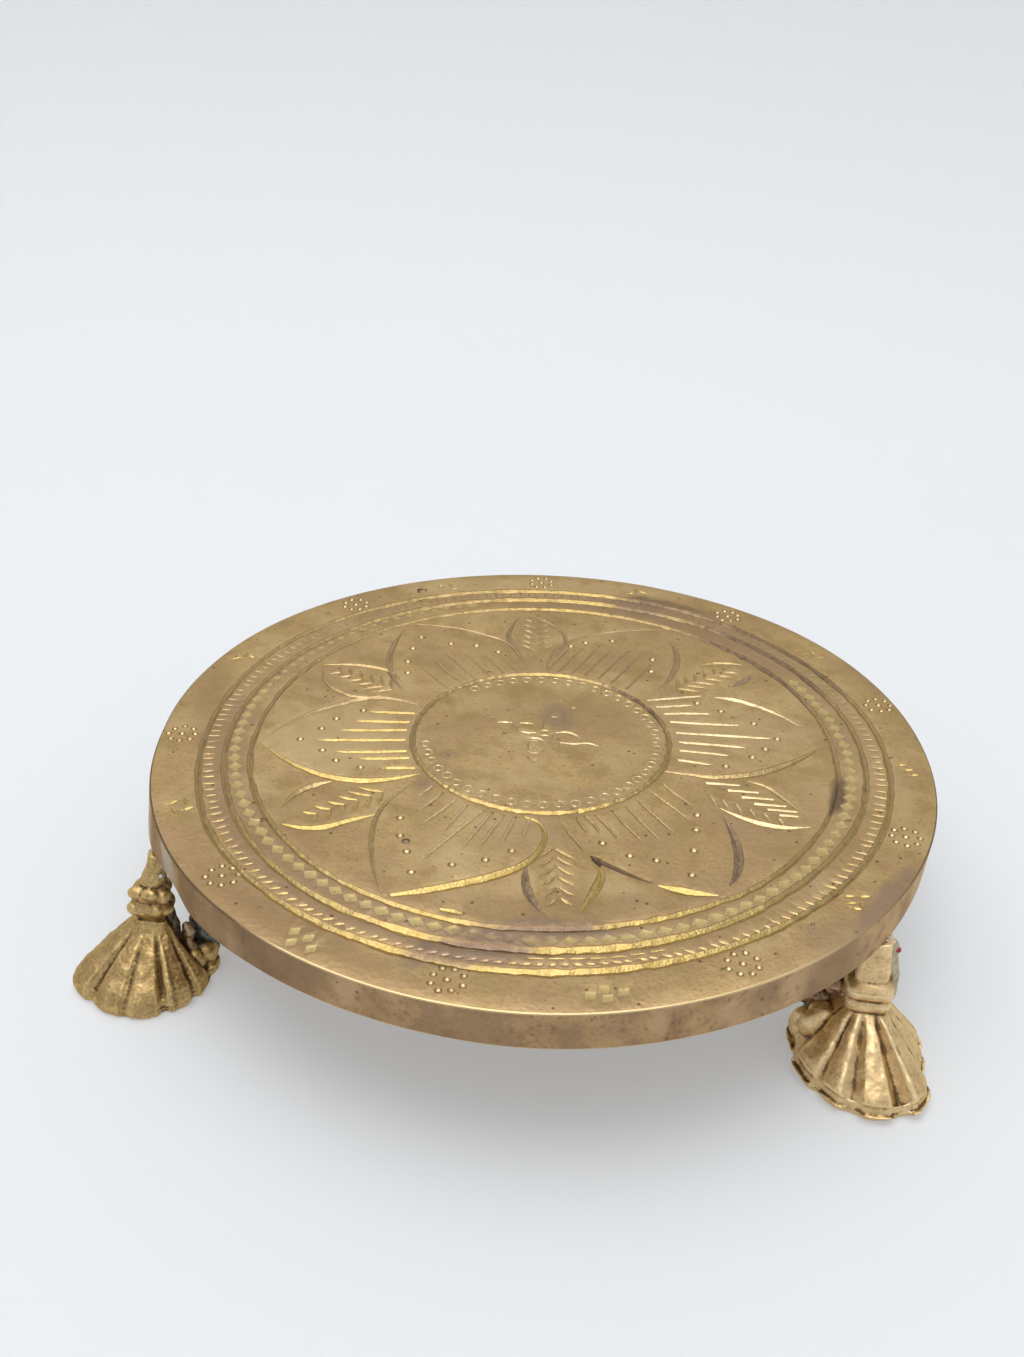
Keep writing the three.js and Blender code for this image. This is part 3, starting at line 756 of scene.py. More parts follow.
petals_second = [
    ([(-0.335, 0.155), (-0.39, 0.18), (-0.44, 0.19), (-0.49, 0.18), (-0.55, 0.147), (-0.61, 0.108),
        (-0.66, 0.06), (-0.71, -0.005)], 0.0086, 2, 0.35),
    ([(0.428, -0.33), (0.438, -0.39), (0.443, -0.45), (0.438, -0.51), (0.424, -0.56), (0.404, -0.597)],
        0.0094, 1, 0.55),
    ([(0.483, 0.229), (0.53, 0.222), (0.57, 0.203), (0.61, 0.176), (0.65, 0.14), (0.69, 0.09)],
        0.0088, 4, 0.2),
    ([(0.02, 0.37), (0.03, 0.43), (0.06, 0.5), (0.12, 0.56), (0.2, 0.6), (0.28, 0.62), (0.37, 0.63)],
        0.005, 2, 0.3),
    ([(-0.03, 0.38), (-0.06, 0.45), (-0.1, 0.53), (-0.16, 0.57), (-0.22, 0.6), (-0.3, 0.62),
        (-0.38, 0.63)], 0.0055, 2, 0.3),
]
petals_third = [
    ([(0.097, -0.5), (0.13, -0.525), (0.165, -0.55), (0.2, -0.573), (0.235, -0.593)], 0.0068, 5, 0.3),
]
broad_petal_points = [
    (-0.05, -0.352), (-0.018, -0.372), (-0.004, -0.41), (-0.01, -0.465), (-0.045, -0.527), (-0.11, -0.572),
    (-0.19, -0.606), (-0.27, -0.633), (-0.345, -0.652),
]
broad_petal_half_widths = [0.003, 0.0045, 0.005, 0.006, 0.009, 0.0118, 0.0112, 0.0102, 0.005]
broad_petal = (broad_petal_points, broad_petal_half_widths, 0)
chase("petals_first", [spindle(*stroke) for stroke in petals_first])
chase("petals_second", [spindle(*stroke) for stroke in petals_second] + [broad_petal])
chase("petals_third", [spindle(*stroke) for stroke in petals_third])

# %% Leaves
leaves_first = [
    ([(-0.047, -0.53), (-0.05, -0.58), (-0.045, -0.63), (-0.03, -0.67), (-0.003, -0.715)], 0.0088, 1),
    ([(-0.525, -0.22), (-0.56, -0.235), (-0.6, -0.27), (-0.632, -0.335)], 0.0095, 3),
    ([(0.51, -0.18), (0.55, -0.2), (0.58, -0.24), (0.61, -0.29), (0.622, -0.31)], 0.006, 3),
    ([(0.455, 0.41), (0.5, 0.425), (0.55, 0.428), (0.59, 0.418)], 0.0065, 3),
    ([(-0.058, 0.69), (-0.08, 0.62), (-0.09, 0.56), (-0.07, 0.5), (-0.04, 0.43)], 0.0062, 2),
    ([(-0.62, 0.35), (-0.6, 0.27), (-0.56, 0.22), (-0.5, 0.19), (-0.44, 0.2)], 0.007, 3),
]
leaves_second = [
    ([(0.119, -0.54), (0.12, -0.57), (0.108, -0.61), (0.09, -0.65), (0.065, -0.7)], 0.0095, 0),
    ([(-0.405, -0.355), (-0.46, -0.378), (-0.52, -0.408), (-0.57, -0.412), (-0.62, -0.4)], 0.0098, 0),
    ([(0.425, -0.3), (0.47, -0.335), (0.52, -0.36), (0.57, -0.372), (0.628, -0.37)], 0.0088, 4),
    ([(0.605, 0.36), (0.59, 0.335), (0.565, 0.31), (0.54, 0.29)], 0.0085, 1),
    ([(-0.03, 0.71), (0.03, 0.66), (0.07, 0.6), (0.08, 0.54), (0.06, 0.47), (0.02, 0.4)], 0.005, 2),
    ([(-0.615, 0.365), (-0.55, 0.37), (-0.48, 0.36), (-0.42, 0.33), (-0.39, 0.28)], 0.0068, 3),
]
leaves_third = [([(0.1, -0.497), (0.11, -0.508), (0.117, -0.522), (0.119, -0.54)], 0.0095, 5)]
leaf_groups = {"leaves_first": leaves_first, "leaves_second": leaves_second, "leaves_third": leaves_third}
for name, group in leaf_groups.items():
    chase(name, [spindle(*stroke) for stroke in group])

# %% Hatch lines of the petals
# A petal's hatch lines lie along its axis, from the medallion outwards, and each petal has its
# own. An entry gives the axis, the finish and the half width. Each line then has its place across
# the axis at its start and at its end, and its end along the axis.
petal_hatches = [
    (-177.5, 0, 0.0062, [(0.139, 0.139, 0.41), (0.092, 0.094, 0.47), (0.06, 0.062, 0.53),
        (0.007, 0.007, 0.585), (-0.042, -0.042, 0.525), (-0.08, -0.086, 0.49), (-0.125, -0.134, 0.455)]),
    (-118, 4, 0.0048, [(0.136, 0.158, 0.414), (0.102, 0.123, 0.455), (0.074, 0.084, 0.488),
        (0.045, 0.053, 0.515), (0.023, -0.003, 0.6), (-0.023, -0.019, 0.486), (-0.056, -0.076, 0.476),
        (-0.099, -0.11, 0.432), (-0.135, -0.142, 0.393)]),
    (-59, 3, 0.0042, [(-0.116, -0.126, 0.403), (-0.095, -0.104, 0.416), (-0.07, -0.08, 0.454),
        (-0.025, -0.034, 0.493), (0.015, 0.005, 0.516), (0.054, 0.051, 0.497), (0.105, 0.115, 0.478),
        (0.149, 0.155, 0.431)]),
    (-1.7, 4, 0.0052, [(0.214, 0.248, 0.44), (0.179, 0.197, 0.41), (0.145, 0.154, 0.455),
        (0.105, 0.101, 0.525), (0.05, 0.04, 0.6), (0.005, -0.009, 0.53), (-0.035, -0.05, 0.48),
        (-0.08, -0.097, 0.43)]),
    (57, 2, 0.0036, [(0.179, 0.197, 0.469), (0.149, 0.163, 0.49), (0.112, 0.13, 0.512),
        (0.076, 0.088, 0.54), (0.035, 0.046, 0.567), (-0.007, 0.005, 0.558), (-0.057, -0.048, 0.532)]),
    (121, 2, 0.0036, [(-0.126, -0.134, 0.456), (-0.087, -0.091, 0.482), (-0.045, -0.048, 0.508),
        (0.0, 0.0, 0.525), (0.044, 0.049, 0.52), (0.094, 0.1, 0.49)]),
]
hatch_start = 0.358
hatches = []
for axis, finish_number, half_width, lines in petal_hatches:
    for number, (start_across, end_across, end) in enumerate(lines):
        drift = 0.005 * waver(axis * 3.1, number * 1.7, 0.5)
        start = math.sqrt(hatch_start**2 - start_across**2)
        spots = [
            (start, start_across),
            (0.5 * (start + end), 0.5 * (start_across + end_across) + drift),
            (0.12 * start + 0.88 * end, 0.12 * start_across + 0.88 * end_across + 0.5 * drift),
            (end, end_across),
        ]
        half_widths = [share * half_width for share in (0.8, 1, 0.8, 0.2)]
        hatches.append(([turned(*spot, axis) for spot in spots], half_widths, finish_number))
chase("hatches", hatches, chatter=0.035 * mm)

# %% Veins of the leaves
# A leaf's veins stand in pairs, each pair an arrowhead that points at the middle of the plate. On
# one half of the right leaf they are plain dashes.
leaf_axes = [-88, -146.5, -30.5, 35.5, 90.6, 150]
leaf_finish_numbers = [3, 0, 4, 3, 2, 3]
vein_apexes = [0.475, 0.507, 0.542, 0.578, 0.615, 0.652]
vein_along = 0.036
vein_across = 0.046
vein_half_width = 0.0052
right_leaf = 2
right_leaf_dashes = [
    ((0.405, -0.192), (0.488, -0.2)), ((0.455, -0.222), (0.53, -0.23)), ((0.485, -0.25), (0.562, -0.258)),
    ((0.512, -0.277), (0.588, -0.286)), ((0.54, -0.3), (0.612, -0.308)), ((0.565, -0.322), (0.61, -0.327)),
]
for side_of_leaf in (-1, 1):
    veins = []
    for number, axis in enumerate(leaf_axes):
        if number == right_leaf and side_of_leaf == 1:
            continue
        for line, apex in enumerate(vein_apexes):
            size = 1 - 0.07 * line + 0.15 * waver(number * 2.3, line * 4.1, side_of_leaf)
            inner = (apex, side_of_leaf * 0.004)
            outer = (apex + vein_along * size, side_of_leaf * vein_across * size)
            middle = ((inner[0] + outer[0]) / 2 + 0.003, (inner[1] + outer[1]) / 2)
            half_widths = [0.15 * vein_half_width, vein_half_width, 0.5 * vein_half_width]
            points = [turned(*spot, axis) for spot in (outer, middle, inner)]
            veins.append((points, half_widths, leaf_finish_numbers[number]))
    if side_of_leaf == 1:
        veins += [(list(ends), [vein_half_width, 0.6 * vein_half_width], 4) for ends in right_leaf_dashes]
    chase("veins", veins, chatter=0.03 * mm, steps=3)

# %% Flower in the medallion
# A small flower is scratched in the middle: two long leaves, a looped bud and short tendrils. The
# arcs of its lower petal each have two half sizes, a start, an end, a half width and a finish.
flower_first = [
    ([(-0.056, 0.031), (-0.036, 0.025), (-0.016, 0.026)], 0.0042, 4),
    ([(-0.12, 0.073), (-0.1, 0.076), (-0.079, 0.074)], 0.0045, 4),
    ([(-0.06, 0.073), (-0.04, 0.073), (-0.022, 0.069)], 0.0034, 4),
    ([(0.033, 0.026), (0.065, 0.031), (0.09, 0.016), (0.1, -0.003)], 0.0042, 4),
    ([(0.046, -0.021), (0.085, -0.025), (0.12, -0.021), (0.145, -0.034)], 0.0045, 4),
    ([(-0.006, 0.034), (0.005, 0.038), (0.018, 0.034)], 0.0034, 4),
    ([(-0.007, 0.011), (0.005, 0.014), (0.017, 0.01)], 0.0036, 4),
    ([(0.062, 0.135), (0.06, 0.11), (0.062, 0.09)], 0.0035, 1),
    ([(0.022, 0.105), (0.033, 0.108), (0.045, 0.104)], 0.004, 3),
    ([(0.076, 0.152), (0.087, 0.157), (0.097, 0.151)], 0.004, 3),
    ([(-0.04, -0.08), (-0.034, -0.1), (-0.012, -0.112)], 0.0035, 1),
]
flower_second = [
    ([(-0.078, 0.068), (-0.066, 0.048), (-0.056, 0.04), (-0.045, 0.036)], 0.003, 1),
    ([(0.026, 0.018), (0.03, 0.003), (0.044, -0.012)], 0.003, 1),
    ([(0.148, -0.04), (0.158, -0.052)], 0.0035, 1),
    ([(-0.14, 0.102), (-0.128, 0.092), (-0.118, 0.082)], 0.003, 1),
    ([(0.0, 0.045), (0.006, 0.075), (0.014, 0.1)], 0.003, 2),
]
lower_petal_middle = (-0.0205, -0.036)
lower_petal_arcs = [
    (0.028, 0.036, -10, 190, 0.0034, 4), (0.027, 0.037, 205, 335, 0.003, 2),
    (0.018, 0.024, 60, 250, 0.0026, 3),
]
for half_across, half_away, start, end, widest, number in lower_petal_arcs:
    points = []
    for i in range(7):
        x, y = around(start + (end - start) * i / 6, 1)
        points.append((lower_petal_middle[0] + half_across * x, lower_petal_middle[1] + half_away * y))
    flower_second.append((points, widest, number))
for name, group in (("flower_first", flower_first), ("flower_second", flower_second)):
    chase(name, [spindle(*stroke, tail=0.3) for stroke in group], chatter=0.03 * mm)

# %% [markdown]
# ## Punch work
# Round dots, small rings and lozenges were struck with shaped punches. One punch is modelled, and
# struck into the face at each place with its own turn and size.

# %% Tools for striking a punch
def strike(name, punch, places):
    """Strikes a punch at each place: across, away, turn in degrees and size."""
    struck = bmesh.new()
    for across, away, degrees, size in places:
        spot = plate_point(across, away)
        spot.z = plate_top - face_drop(spot.x, spot.y)
        turn = Matrix.Rotation(math.radians(degrees + lotus_turn_degrees), 4, "Z")
        already = len(struck.verts)
        struck.from_mesh(punch.data)
        struck.verts.ensure_lookup_table()
        placing = Matrix.Translation(spot) @ turn @ Matrix.Scale(size, 4)
        bmesh.ops.transform(struck, matrix=placing, verts=struck.verts[already:])
    shape = bpy.data.meshes.new(name)
    struck.to_mesh(shape)
    struck.free()
    for material in punch.data.materials:
        shape.materials.append(material)
    cut_with(add_object(name, shape))


def finish_punch(punch, name, finish):
    """Closes a punch and gives it its finish, and as its second the dark lip finish: partly dirt, partly
    painted shade.
    """
    settle(punch, name)
    face_outwards(punch, 0.001 * mm)
    punch.data.materials.append(finish["material"])
    punch.data.materials.append(cuts["lip_dirt_and_shade"]["material"])


# %% Ladder of nicks
# Between the outer and the middle line stands a ladder of nicks. The hand kept nearly one
# direction all the way round, so they cross the band at the sides and lie along it at the front.
# The tables give their radius, size and direction at bearings round the plate.
nick_count = 200
nick_radii = [
    (-180, 0.853), (-160, 0.858), (-150, 0.867), (-125, 0.873), (-104, 0.866), (-80, 0.861), (-60, 0.867),
    (-35, 0.866), (0, 0.861), (40, 0.858), (90, 0.85), (150, 0.85), (180, 0.853),
]
nick_half_lengths = [
    (-180, 0.0125), (-150, 0.0118), (-120, 0.0108), (-85, 0.009), (-60, 0.0108), (-35, 0.0125), (0, 0.013),
    (180, 0.0125),
]
nick_half_widths = [
    (-180, 0.0028), (-150, 0.0032), (-135, 0.0042), (-112, 0.0042), (-85, 0.0046), (-60, 0.0036),
    (-40, 0.003), (180, 0.0028),
]
nick_lies = [
    (-180, 0), (-165, 12), (-150, 28), (-140, 20), (-130, 8), (-113, 14), (-95, 5), (-80, -8), (-65, -20),
    (-30, -20), (-10, -12), (0, 0), (180, 180),
]
nicks = []
for i in range(nick_count):
    degrees = 360 * i / nick_count - 180 + 0.5 * waver(i * 1.3, 0.2, 0.7)
    size = 1 + 0.3 * waver(i * 0.9, 3.3, 0.1)
    middle = around(degrees, eased(nick_radii, degrees))
    lie = eased(nick_lies, degrees) + 10 * waver(i * 0.31, 8.3, 0.9)
    points = short_stroke(middle, lie, eased(nick_half_lengths, degrees) * size)
    heavy = eased(nick_half_widths, degrees) * size
    nicks.append((points, [0.35 * heavy, heavy, 0.5 * heavy], 2 if degrees > -5 else 3))
chase("nicks", nicks, chatter=0.02 * mm, steps=2)

# %% Dashes behind the nicks
# In front, a thin line of dashes was started along the middle line.
dash_radius = 0.845
dash_half_degrees = 1.15
dash_half_width = 0.0024
dashes = []
for i in range(7):
    degrees = -92 + 2.9 * i
    radius = dash_radius + 0.001 * math.sin(5 * i)
    points = [around(degrees + turn, radius) for turn in (-dash_half_degrees, 0, dash_half_degrees)]
    dashes.append((points, [0.6 * dash_half_width, dash_half_width, 0.4 * dash_half_width], 0))
chase("dashes", dashes, chatter=0.02 * mm, steps=2)

# %% Chain of lozenges
# Between the middle and the inner line runs a chain of shallow, flat-bottomed lozenges, tip to
# tip. They are worn away at the back right and nearly so at the back left. Two small groups of
# them stand on the rim.
lozenge_count = 120
lozenge_radius = 0.79
lozenge_half_length = 1.75 * mm
lozenge_half_width = 1.4 * mm
lozenge_depth = 0.1 * mm
deselect_all()
bpy.ops.mesh.primitive_cone_add(vertices=4, radius1=1, radius2=0.64, depth=1, location=(0, 0, 0))
punch = bpy.context.object
for point in punch.data.vertices:
    on_rim = abs(point.co.x) + abs(point.co.y) > 0.9
    point.co.x *= lozenge_half_length
    point.co.y *= lozenge_half_width
    point.co.z = 0.03 * mm if on_rim else -lozenge_depth
finish_punch(punch, "lozenge_punch", cuts["lozenge_cut"])
places = []
for i in range(lozenge_count):
    degrees = 360 * i / lozenge_count
    if 25 < degrees < 105:
        continue
    size = (0.6 if 105 < degrees < 165 else 1) * (1 + 0.16 * waver(i * 1.9, 0.4, 5.1))
    spot = around(degrees, lozenge_radius + 0.003 * waver(i * 0.7, 1.4, 2.1))
    places.append((*spot, degrees + 90 + 12 * waver(i * 0.5, 7.7, 0.3), size))
lozenge_clusters = [
    (-124.6, 0.942), (-122.3, 0.942), (-123.6, 0.972), (-120.8, 0.965), (-85.4, 0.952), (-83.4, 0.962),
    (-83.6, 0.936), (-81.3, 0.948),
]
places += [(*around(degrees, radius), 45, 0.85) for degrees, radius in lozenge_clusters]
strike("lozenges_even", punch, places[::2])
strike("lozenges_odd", punch, places[1::2])
bpy.data.objects.remove(punch)

# %% Dots
# A round-nosed punch made seven dots in each petal and the rosettes along the rim.
dot_radius = 0.56 * mm
dot_depth = 0.38 * mm
dot_lip = 1.35
deselect_all()
bpy.ops.mesh.primitive_uv_sphere_add(segments=14, ring_count=8, radius=1, location=(0, 0, 0))
punch = bpy.context.object
for point in punch.data.vertices:
    in_lip = point.co.z > -0.01 and math.hypot(point.co.x, point.co.y) >= 0.5
    point.co.x *= dot_radius * (dot_lip if in_lip else 1)
    point.co.y *= dot_radius * (dot_lip if in_lip else 1)
    point.co.z *= dot_depth
finish_punch(punch, "dot_punch", cuts["pale_cut"])
# The rim of each dot gets the dark lip finish: a painted shadow round the dot.
for polygon in punch.data.polygons:
    if -0.4 * dot_depth < polygon.center.z < 0:
        polygon.material_index = 1
petal_dots = [
    [(-0.48, 0.12), (-0.547, 0.075), (-0.58, 0.025), (-0.628, -0.03), (-0.565, -0.08), (-0.525, -0.125),
        (-0.46, -0.155)],
    [(-0.345, -0.365), (-0.34, -0.435), (-0.32, -0.495), (-0.305, -0.57), (-0.215, -0.54),
        (-0.14, -0.52), (-0.08, -0.485)],
    [(0.13, -0.45), (0.19, -0.495), (0.25, -0.51), (0.325, -0.56), (0.34, -0.47), (0.355, -0.39),
        (0.365, -0.33)],
    [(0.43, 0.195), (0.49, 0.155), (0.57, 0.095), (0.62, 0.02), (0.58, -0.03), (0.54, -0.07),
        (0.465, -0.115)],
    [(0.095, 0.51), (0.14, 0.535), (0.22, 0.55), (0.33, 0.44), (0.32, 0.37)],
    [(-0.35, 0.545), (-0.37, 0.475), (-0.38, 0.395), (-0.375, 0.33), (-0.26, 0.51), (-0.185, 0.5),
        (-0.12, 0.465)],
]
places = [(across, away, 0, 1.1) for dots in petal_dots for across, away in dots]
rosette_ring = 0.034
rosettes = [
    (-179, 0.937), (-140.5, 0.936), (-103, 0.935), (-65, 0.935), (-25.2, 0.939), (12.5, 0.957), (51, 0.94),
    (89, 0.94), (127, 0.94),
]
for number, (degrees, radius) in enumerate(rosettes):
    middle = around(degrees, radius)
    places.append((*middle, 0, 0.95))
    for dot in range(8):
        drift = 0.005 * waver(number * 1.7, dot * 2.1, 8.8)
        spot = around(45 * dot + 9 * number, rosette_ring + drift, middle)
        places.append((*spot, 0, 0.9 + 12 * drift))
strike("dots", punch, places)
bpy.data.objects.remove(punch)

# %% Marks between the rosettes
# Between the rosettes the rim has small groups of short chisel marks. One long nick stands by
# itself inside the ring lines.
rim_marks = [
    (-159, 0.936, [(-0.02, 0.01, 40), (0.012, 0.016, 110), (0.022, -0.012, 30), (-0.006, -0.022, 120)]),
    (-44, 0.94, [(-0.014, 0.03, 0), (0.02, 0.03, 0), (-0.014, 0.006, 5), (0.01, 0.0, 80),
        (-0.004, -0.012, 170)]),
    (-7, 0.936, [(-0.012, 0.022, 0), (0.0, 0.0, 0), (0.008, -0.024, 10)]),
    (31, 0.936, [(-0.02, 0.01, 40), (0.012, 0.016, 110), (0.022, -0.012, 30)]),
    (70, 0.936, [(-0.022, -0.004, 20), (0.0, 0.018, 80), (0.024, 0.004, 150)]),
    (108, 0.936, [(-0.02, 0.01, 40), (0.012, 0.016, 110), (0.022, -0.012, 30)]),
    (155, 0.936, [(-0.022, -0.004, 20), (0.0, 0.018, 80), (0.024, 0.004, 150)]),
]
mark_half_length = 0.014
mark_half_width = 0.0055
mark_half_widths = [0.3 * mark_half_width, mark_half_width, 0.3 * mark_half_width]
marks = []
for degrees, radius, strokes in rim_marks:
    centre = around(degrees, radius)
    for across, away, lie in strokes:
        points = short_stroke((centre[0] + across, centre[1] + away), lie, mark_half_length)
        marks.append((points, mark_half_widths, 0))
marks.append(([(-0.235, -0.695), (-0.21, -0.7), (-0.185, -0.71)], [0.003, 0.007, 0.002], 0))
chase("rim_marks", marks, chatter=0.03 * mm, steps=3)

# %% Ring punches round the medallion
ring_punch_radius = 0.98 * mm
ring_punch_wall = 0.24 * mm
ring_punch_flatness = 0.55
ring_punch_circle = 0.303
deselect_all()
bpy.ops.mesh.primitive_torus_add(
    major_radius=ring_punch_radius,
    minor_radius=ring_punch_wall,
    major_segments=18,
    minor_segments=6,
    location=(0, 0, 0),
)
punch = bpy.context.object
for point in punch.data.vertices:
    point.co.z *= ring_punch_flatness
finish_punch(punch, "ring_punch", cuts["pale_cut"])
ring_punches = []
for i in range(41):
    radius = ring_punch_circle + 0.004 * waver(i * 0.8, 2.2, 6.1)
    size = 1 + 0.06 * waver(i * 1.8, 5.2, 1.1)
    ring_punches.append((*around(-172 + 7.45 * i, radius, (-0.004, 0.003)), 0, size))
strike("ring_punches_even", punch, ring_punches[::2])
strike("ring_punches_odd", punch, ring_punches[1::2])
bpy.data.objects.remove(punch)

# %% Casting pits
# A few blowholes from the casting were never filed out. Each has its place and its size in mm.
pit_places = [
    (-0.367, 0.861, 1.5), (-0.325, -0.455, 0.95), (0.725, -0.34, 0.5), (-0.665, -0.385, 0.7),
    (-0.145, 0.345, 0.6), (-0.135, 0.31, 0.45), (0.565, -0.72, 0.5), (0.47, -0.815, 0.45),
    (0.235, -0.065, 0.35), (-0.62, -0.7, 0.4), (-0.8, -0.3, 0.4), (0.9, -0.06, 0.4), (0.455, 0.363, 0.6),
    (0.475, 0.36, 0.5),
]
deselect_all()
bpy.ops.mesh.primitive_uv_sphere_add(segments=12, ring_count=8, radius=1, location=(0, 0, 0))
punch = bpy.context.object
for point in punch.data.vertices:
    ragged = 1 + 0.3 * noise.noise(point.co * 1.7)
    point.co = Vector((point.co.x * ragged, point.co.y * ragged * 0.8, point.co.z * 0.55)) * mm
finish_punch(punch, "blowhole", cuts["dark_cut"])
strike("pits", punch, [(across, away, 40 * size, size) for across, away, size in pit_places])
bpy.data.objects.remove(punch)
bpy.data.objects.remove(graver)

# %% Smooth the plate's faces
crease_angle = math.radians(22)
take_up(plate)
bpy.ops.object.shade_smooth_by_angle(angle=crease_angle)
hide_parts("plate")
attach(plate, "root")

# %% [markdown]
# ## The feet
# Each foot was cast in sand as one piece: a hollow scallop shell, a collar with two bands, and a
# short post that reaches the plate. A grid is bent into the shell, with a groove at each named
# bearing and a round lobe between grooves. The collar and post are turned from one profile by a
# spin. All parts of a foot are then melted into one skin by a voxel remesh, as metal would flow,
# and every point is moved a little by noise, which gives the grain of the sand.

# %% Plans of the feet
# A foot has its own axes: outward from the table, forward, and up. Bearings are in degrees from
# outward to forward. Each rim entry is a bearing and a reach in mm. Each groove and each ridge is
# a bearing, a half width in degrees and a depth in mm. Each lump is a middle and three half sizes.
left_rim = [
    (-34, 11.2), (0, 13.4), (18, 15.4), (30, 16.6), (45, 16.2), (60, 15.4), (75, 15.3), (90, 15.0),
    (105, 14.3), (120, 13.6), (132, 13.0), (145, 12.4), (160, 11.4), (175, 10.9), (201, 11.2),
]
left_grooves = [
    (10, 4, 0.2), (53, 3.2, 1.1), (84, 2.6, 0.5), (113, 2.6, 1.05), (142, 3, 0.9), (172, 5, 0.8),
]
left_ridges = [(121, 4, 0.35)]
right_rim = [
    (-38, 11.2), (0, 10.8), (20, 11.2), (36, 13.8), (48, 15.4), (60, 16.3), (80, 16.3), (95, 15.9),
    (110, 15.2), (120, 14.4), (132, 14.2), (145, 13.6), (158, 13.2), (170, 12.2), (180, 12.4), (197, 13.2),
]
right_grooves = [
    (-4, 4, 0.3), (28, 6, 0.3), (67, 4.6, 1.9), (100, 4.6, 0.8), (126, 2.4, 0.35), (160, 4, 0.3),
]
right_ridges = [(57, 3.0, 0.5), (76, 3, 0.12)]
banded_collar = [
    (-2.4, 10.6), (-1.6, 12.2), (-0.9, 13.0), (-0.4, 13.5), (0.15, 14.0), (0.35, 14.6), (0.32, 15.5),
    (0.1, 16.0), (-0.12, 16.35), (0.1, 16.7), (0.38, 17.2), (0.38, 18.2), (0.15, 18.8), (-0.5, 19.4),
    (-1.1, 19.9),
]
knotted_collar = [
    (-2.4, 10.6), (-1.6, 12.4), (-1.0, 13.8), (-0.6, 14.7), (-0.1, 15.5), (0.25, 16.3), (0.2, 17.3),
    (-0.3, 18.1), (-0.55, 18.6), (-0.3, 19.2), (-0.15, 20.0), (-0.35, 20.7), (-0.9, 21.3), (-1.4, 21.7),
]
knots = [
    (2.0, 1.9, 20.0, 2.0, 1.5, 1.4), (-0.7, 2.4, 20.4, 1.9, 1.2, 1.3), (-2.8, 1.4, 19.6, 1.7, 1.6, 1.6),
    (2.4, 2.2, 16.7, 2.0, 1.6, 1.3), (-0.9, 2.9, 17.0, 2.1, 1.1, 1.3), (-3.0, 1.2, 16.4, 1.7, 1.6, 1.2),
]
right_ears = [
    (-11.2, 0.7, 8.0, 2.4, 1.6, 2.3), (-9.4, 1.6, 7.6, 3.0, 2.2, 3.2),
    (-8.2, 0.6, 9.6, 2.6, 2.2, 2.2), (-11.2, -1.2, 4.2, 2.4, 2.6, 2.6),
]
foot_plans = {
    "front_left": dict(
        bearing=-148, overhang=2.2, lean=2.5, out=-1, forward=-1,
        rim=left_rim, grooves=left_grooves, ridges=left_ridges, bulge=0.4, lip=1, fade=0.5, sag=0.5,
        collar=(3.9, 3.6, 0.1, 2.3), collar_rows=knotted_collar, post=((2.7, 2.7), (1.8, 2.0)),
        ears=[(-9.3, -1.4, 4.4, 2.15, 2.2, 2.0), (-7.6, 0.6, 3.6, 2.2, 2.0, 2.6), *knots],
        lumps=0.26, ripples=(118, 160, 0.9, 0.05), finish="sand_cast",
    ),
    "front_right": dict(
        bearing=-32, overhang=-0.6, lean=0.8, out=1, forward=-1,
        rim=right_rim, grooves=right_grooves, ridges=right_ridges, bulge=0.75, lip=0.4, fade=0.16, sag=0,
        collar=(4.0, 3.8, -0.7, 4.5), collar_rows=banded_collar, post=((3.1, 2.7), (2.6, 2.3)),
        ears=right_ears, lumps=0.24, ripples=(100, 160, 1.1, 0.02), finish="filed",
    ),
    "back": dict(
        bearing=90, overhang=0.8, lean=1.6, out=-1, forward=1,
        rim=left_rim, grooves=left_grooves, ridges=left_ridges, bulge=0.35, lip=0.8, fade=0.3, sag=0.3,
        collar=(4.2, 3.8, 0.1, 3.0), collar_rows=banded_collar, post=((3.2, 2.9), (2.4, 2.3)),
        ears=[(-9.6, -1.5, 5.2, 2.0, 2.1, 2.4)], lumps=0.18, ripples=(118, 160, 0.9, 0.05),
        finish="sand_cast",
    ),
}
shell_steps_round = 300
shell_steps_down = 84
shell_wall = 1.9 * mm
shell_profile = [
    (0, 14.0), (0.04, 13.3), (0.26, 10.9), (0.5, 8.4), (0.74, 5.9), (0.91, 4.0), (0.99, 2.5), (1.0, 1.4),
    (0.985, 0.5), (0.95, 0),
]
post_foot = 19.8
post_rows = [20.4, 22, 23.6, 25.2, 26.8, 28.15]


def foot_place(plan, out, forward, up):
    """A point of a foot, in mm along its own axes, as a point of the table."""
    stand = math.radians(plan["bearing"])
    reach = plate_radius + plan["overhang"] * mm
    x = plate_axis.x + reach * math.cos(stand) + plan["out"] * out * mm
    y = plate_axis.y + reach * math.sin(stand) + plan["forward"] * forward * mm
    return Vector((x, y, up * mm))


def leaned(plan, place, up):
    """Moves a point of the post towards the middle of the table by its lean."""
    stand = math.radians(plan["bearing"])
    lean = plan["lean"] * mm * max(0, up - post_foot) / (post_rows[-1] - post_foot)
    return place - Vector((lean * math.cos(stand), lean * math.sin(stand), 0))


profile_shares = [(i / (len(shell_profile) - 1), entry[0]) for i, entry in enumerate(shell_profile)]
profile_heights = [(i / (len(shell_profile) - 1), entry[1]) for i, entry in enumerate(shell_profile)]


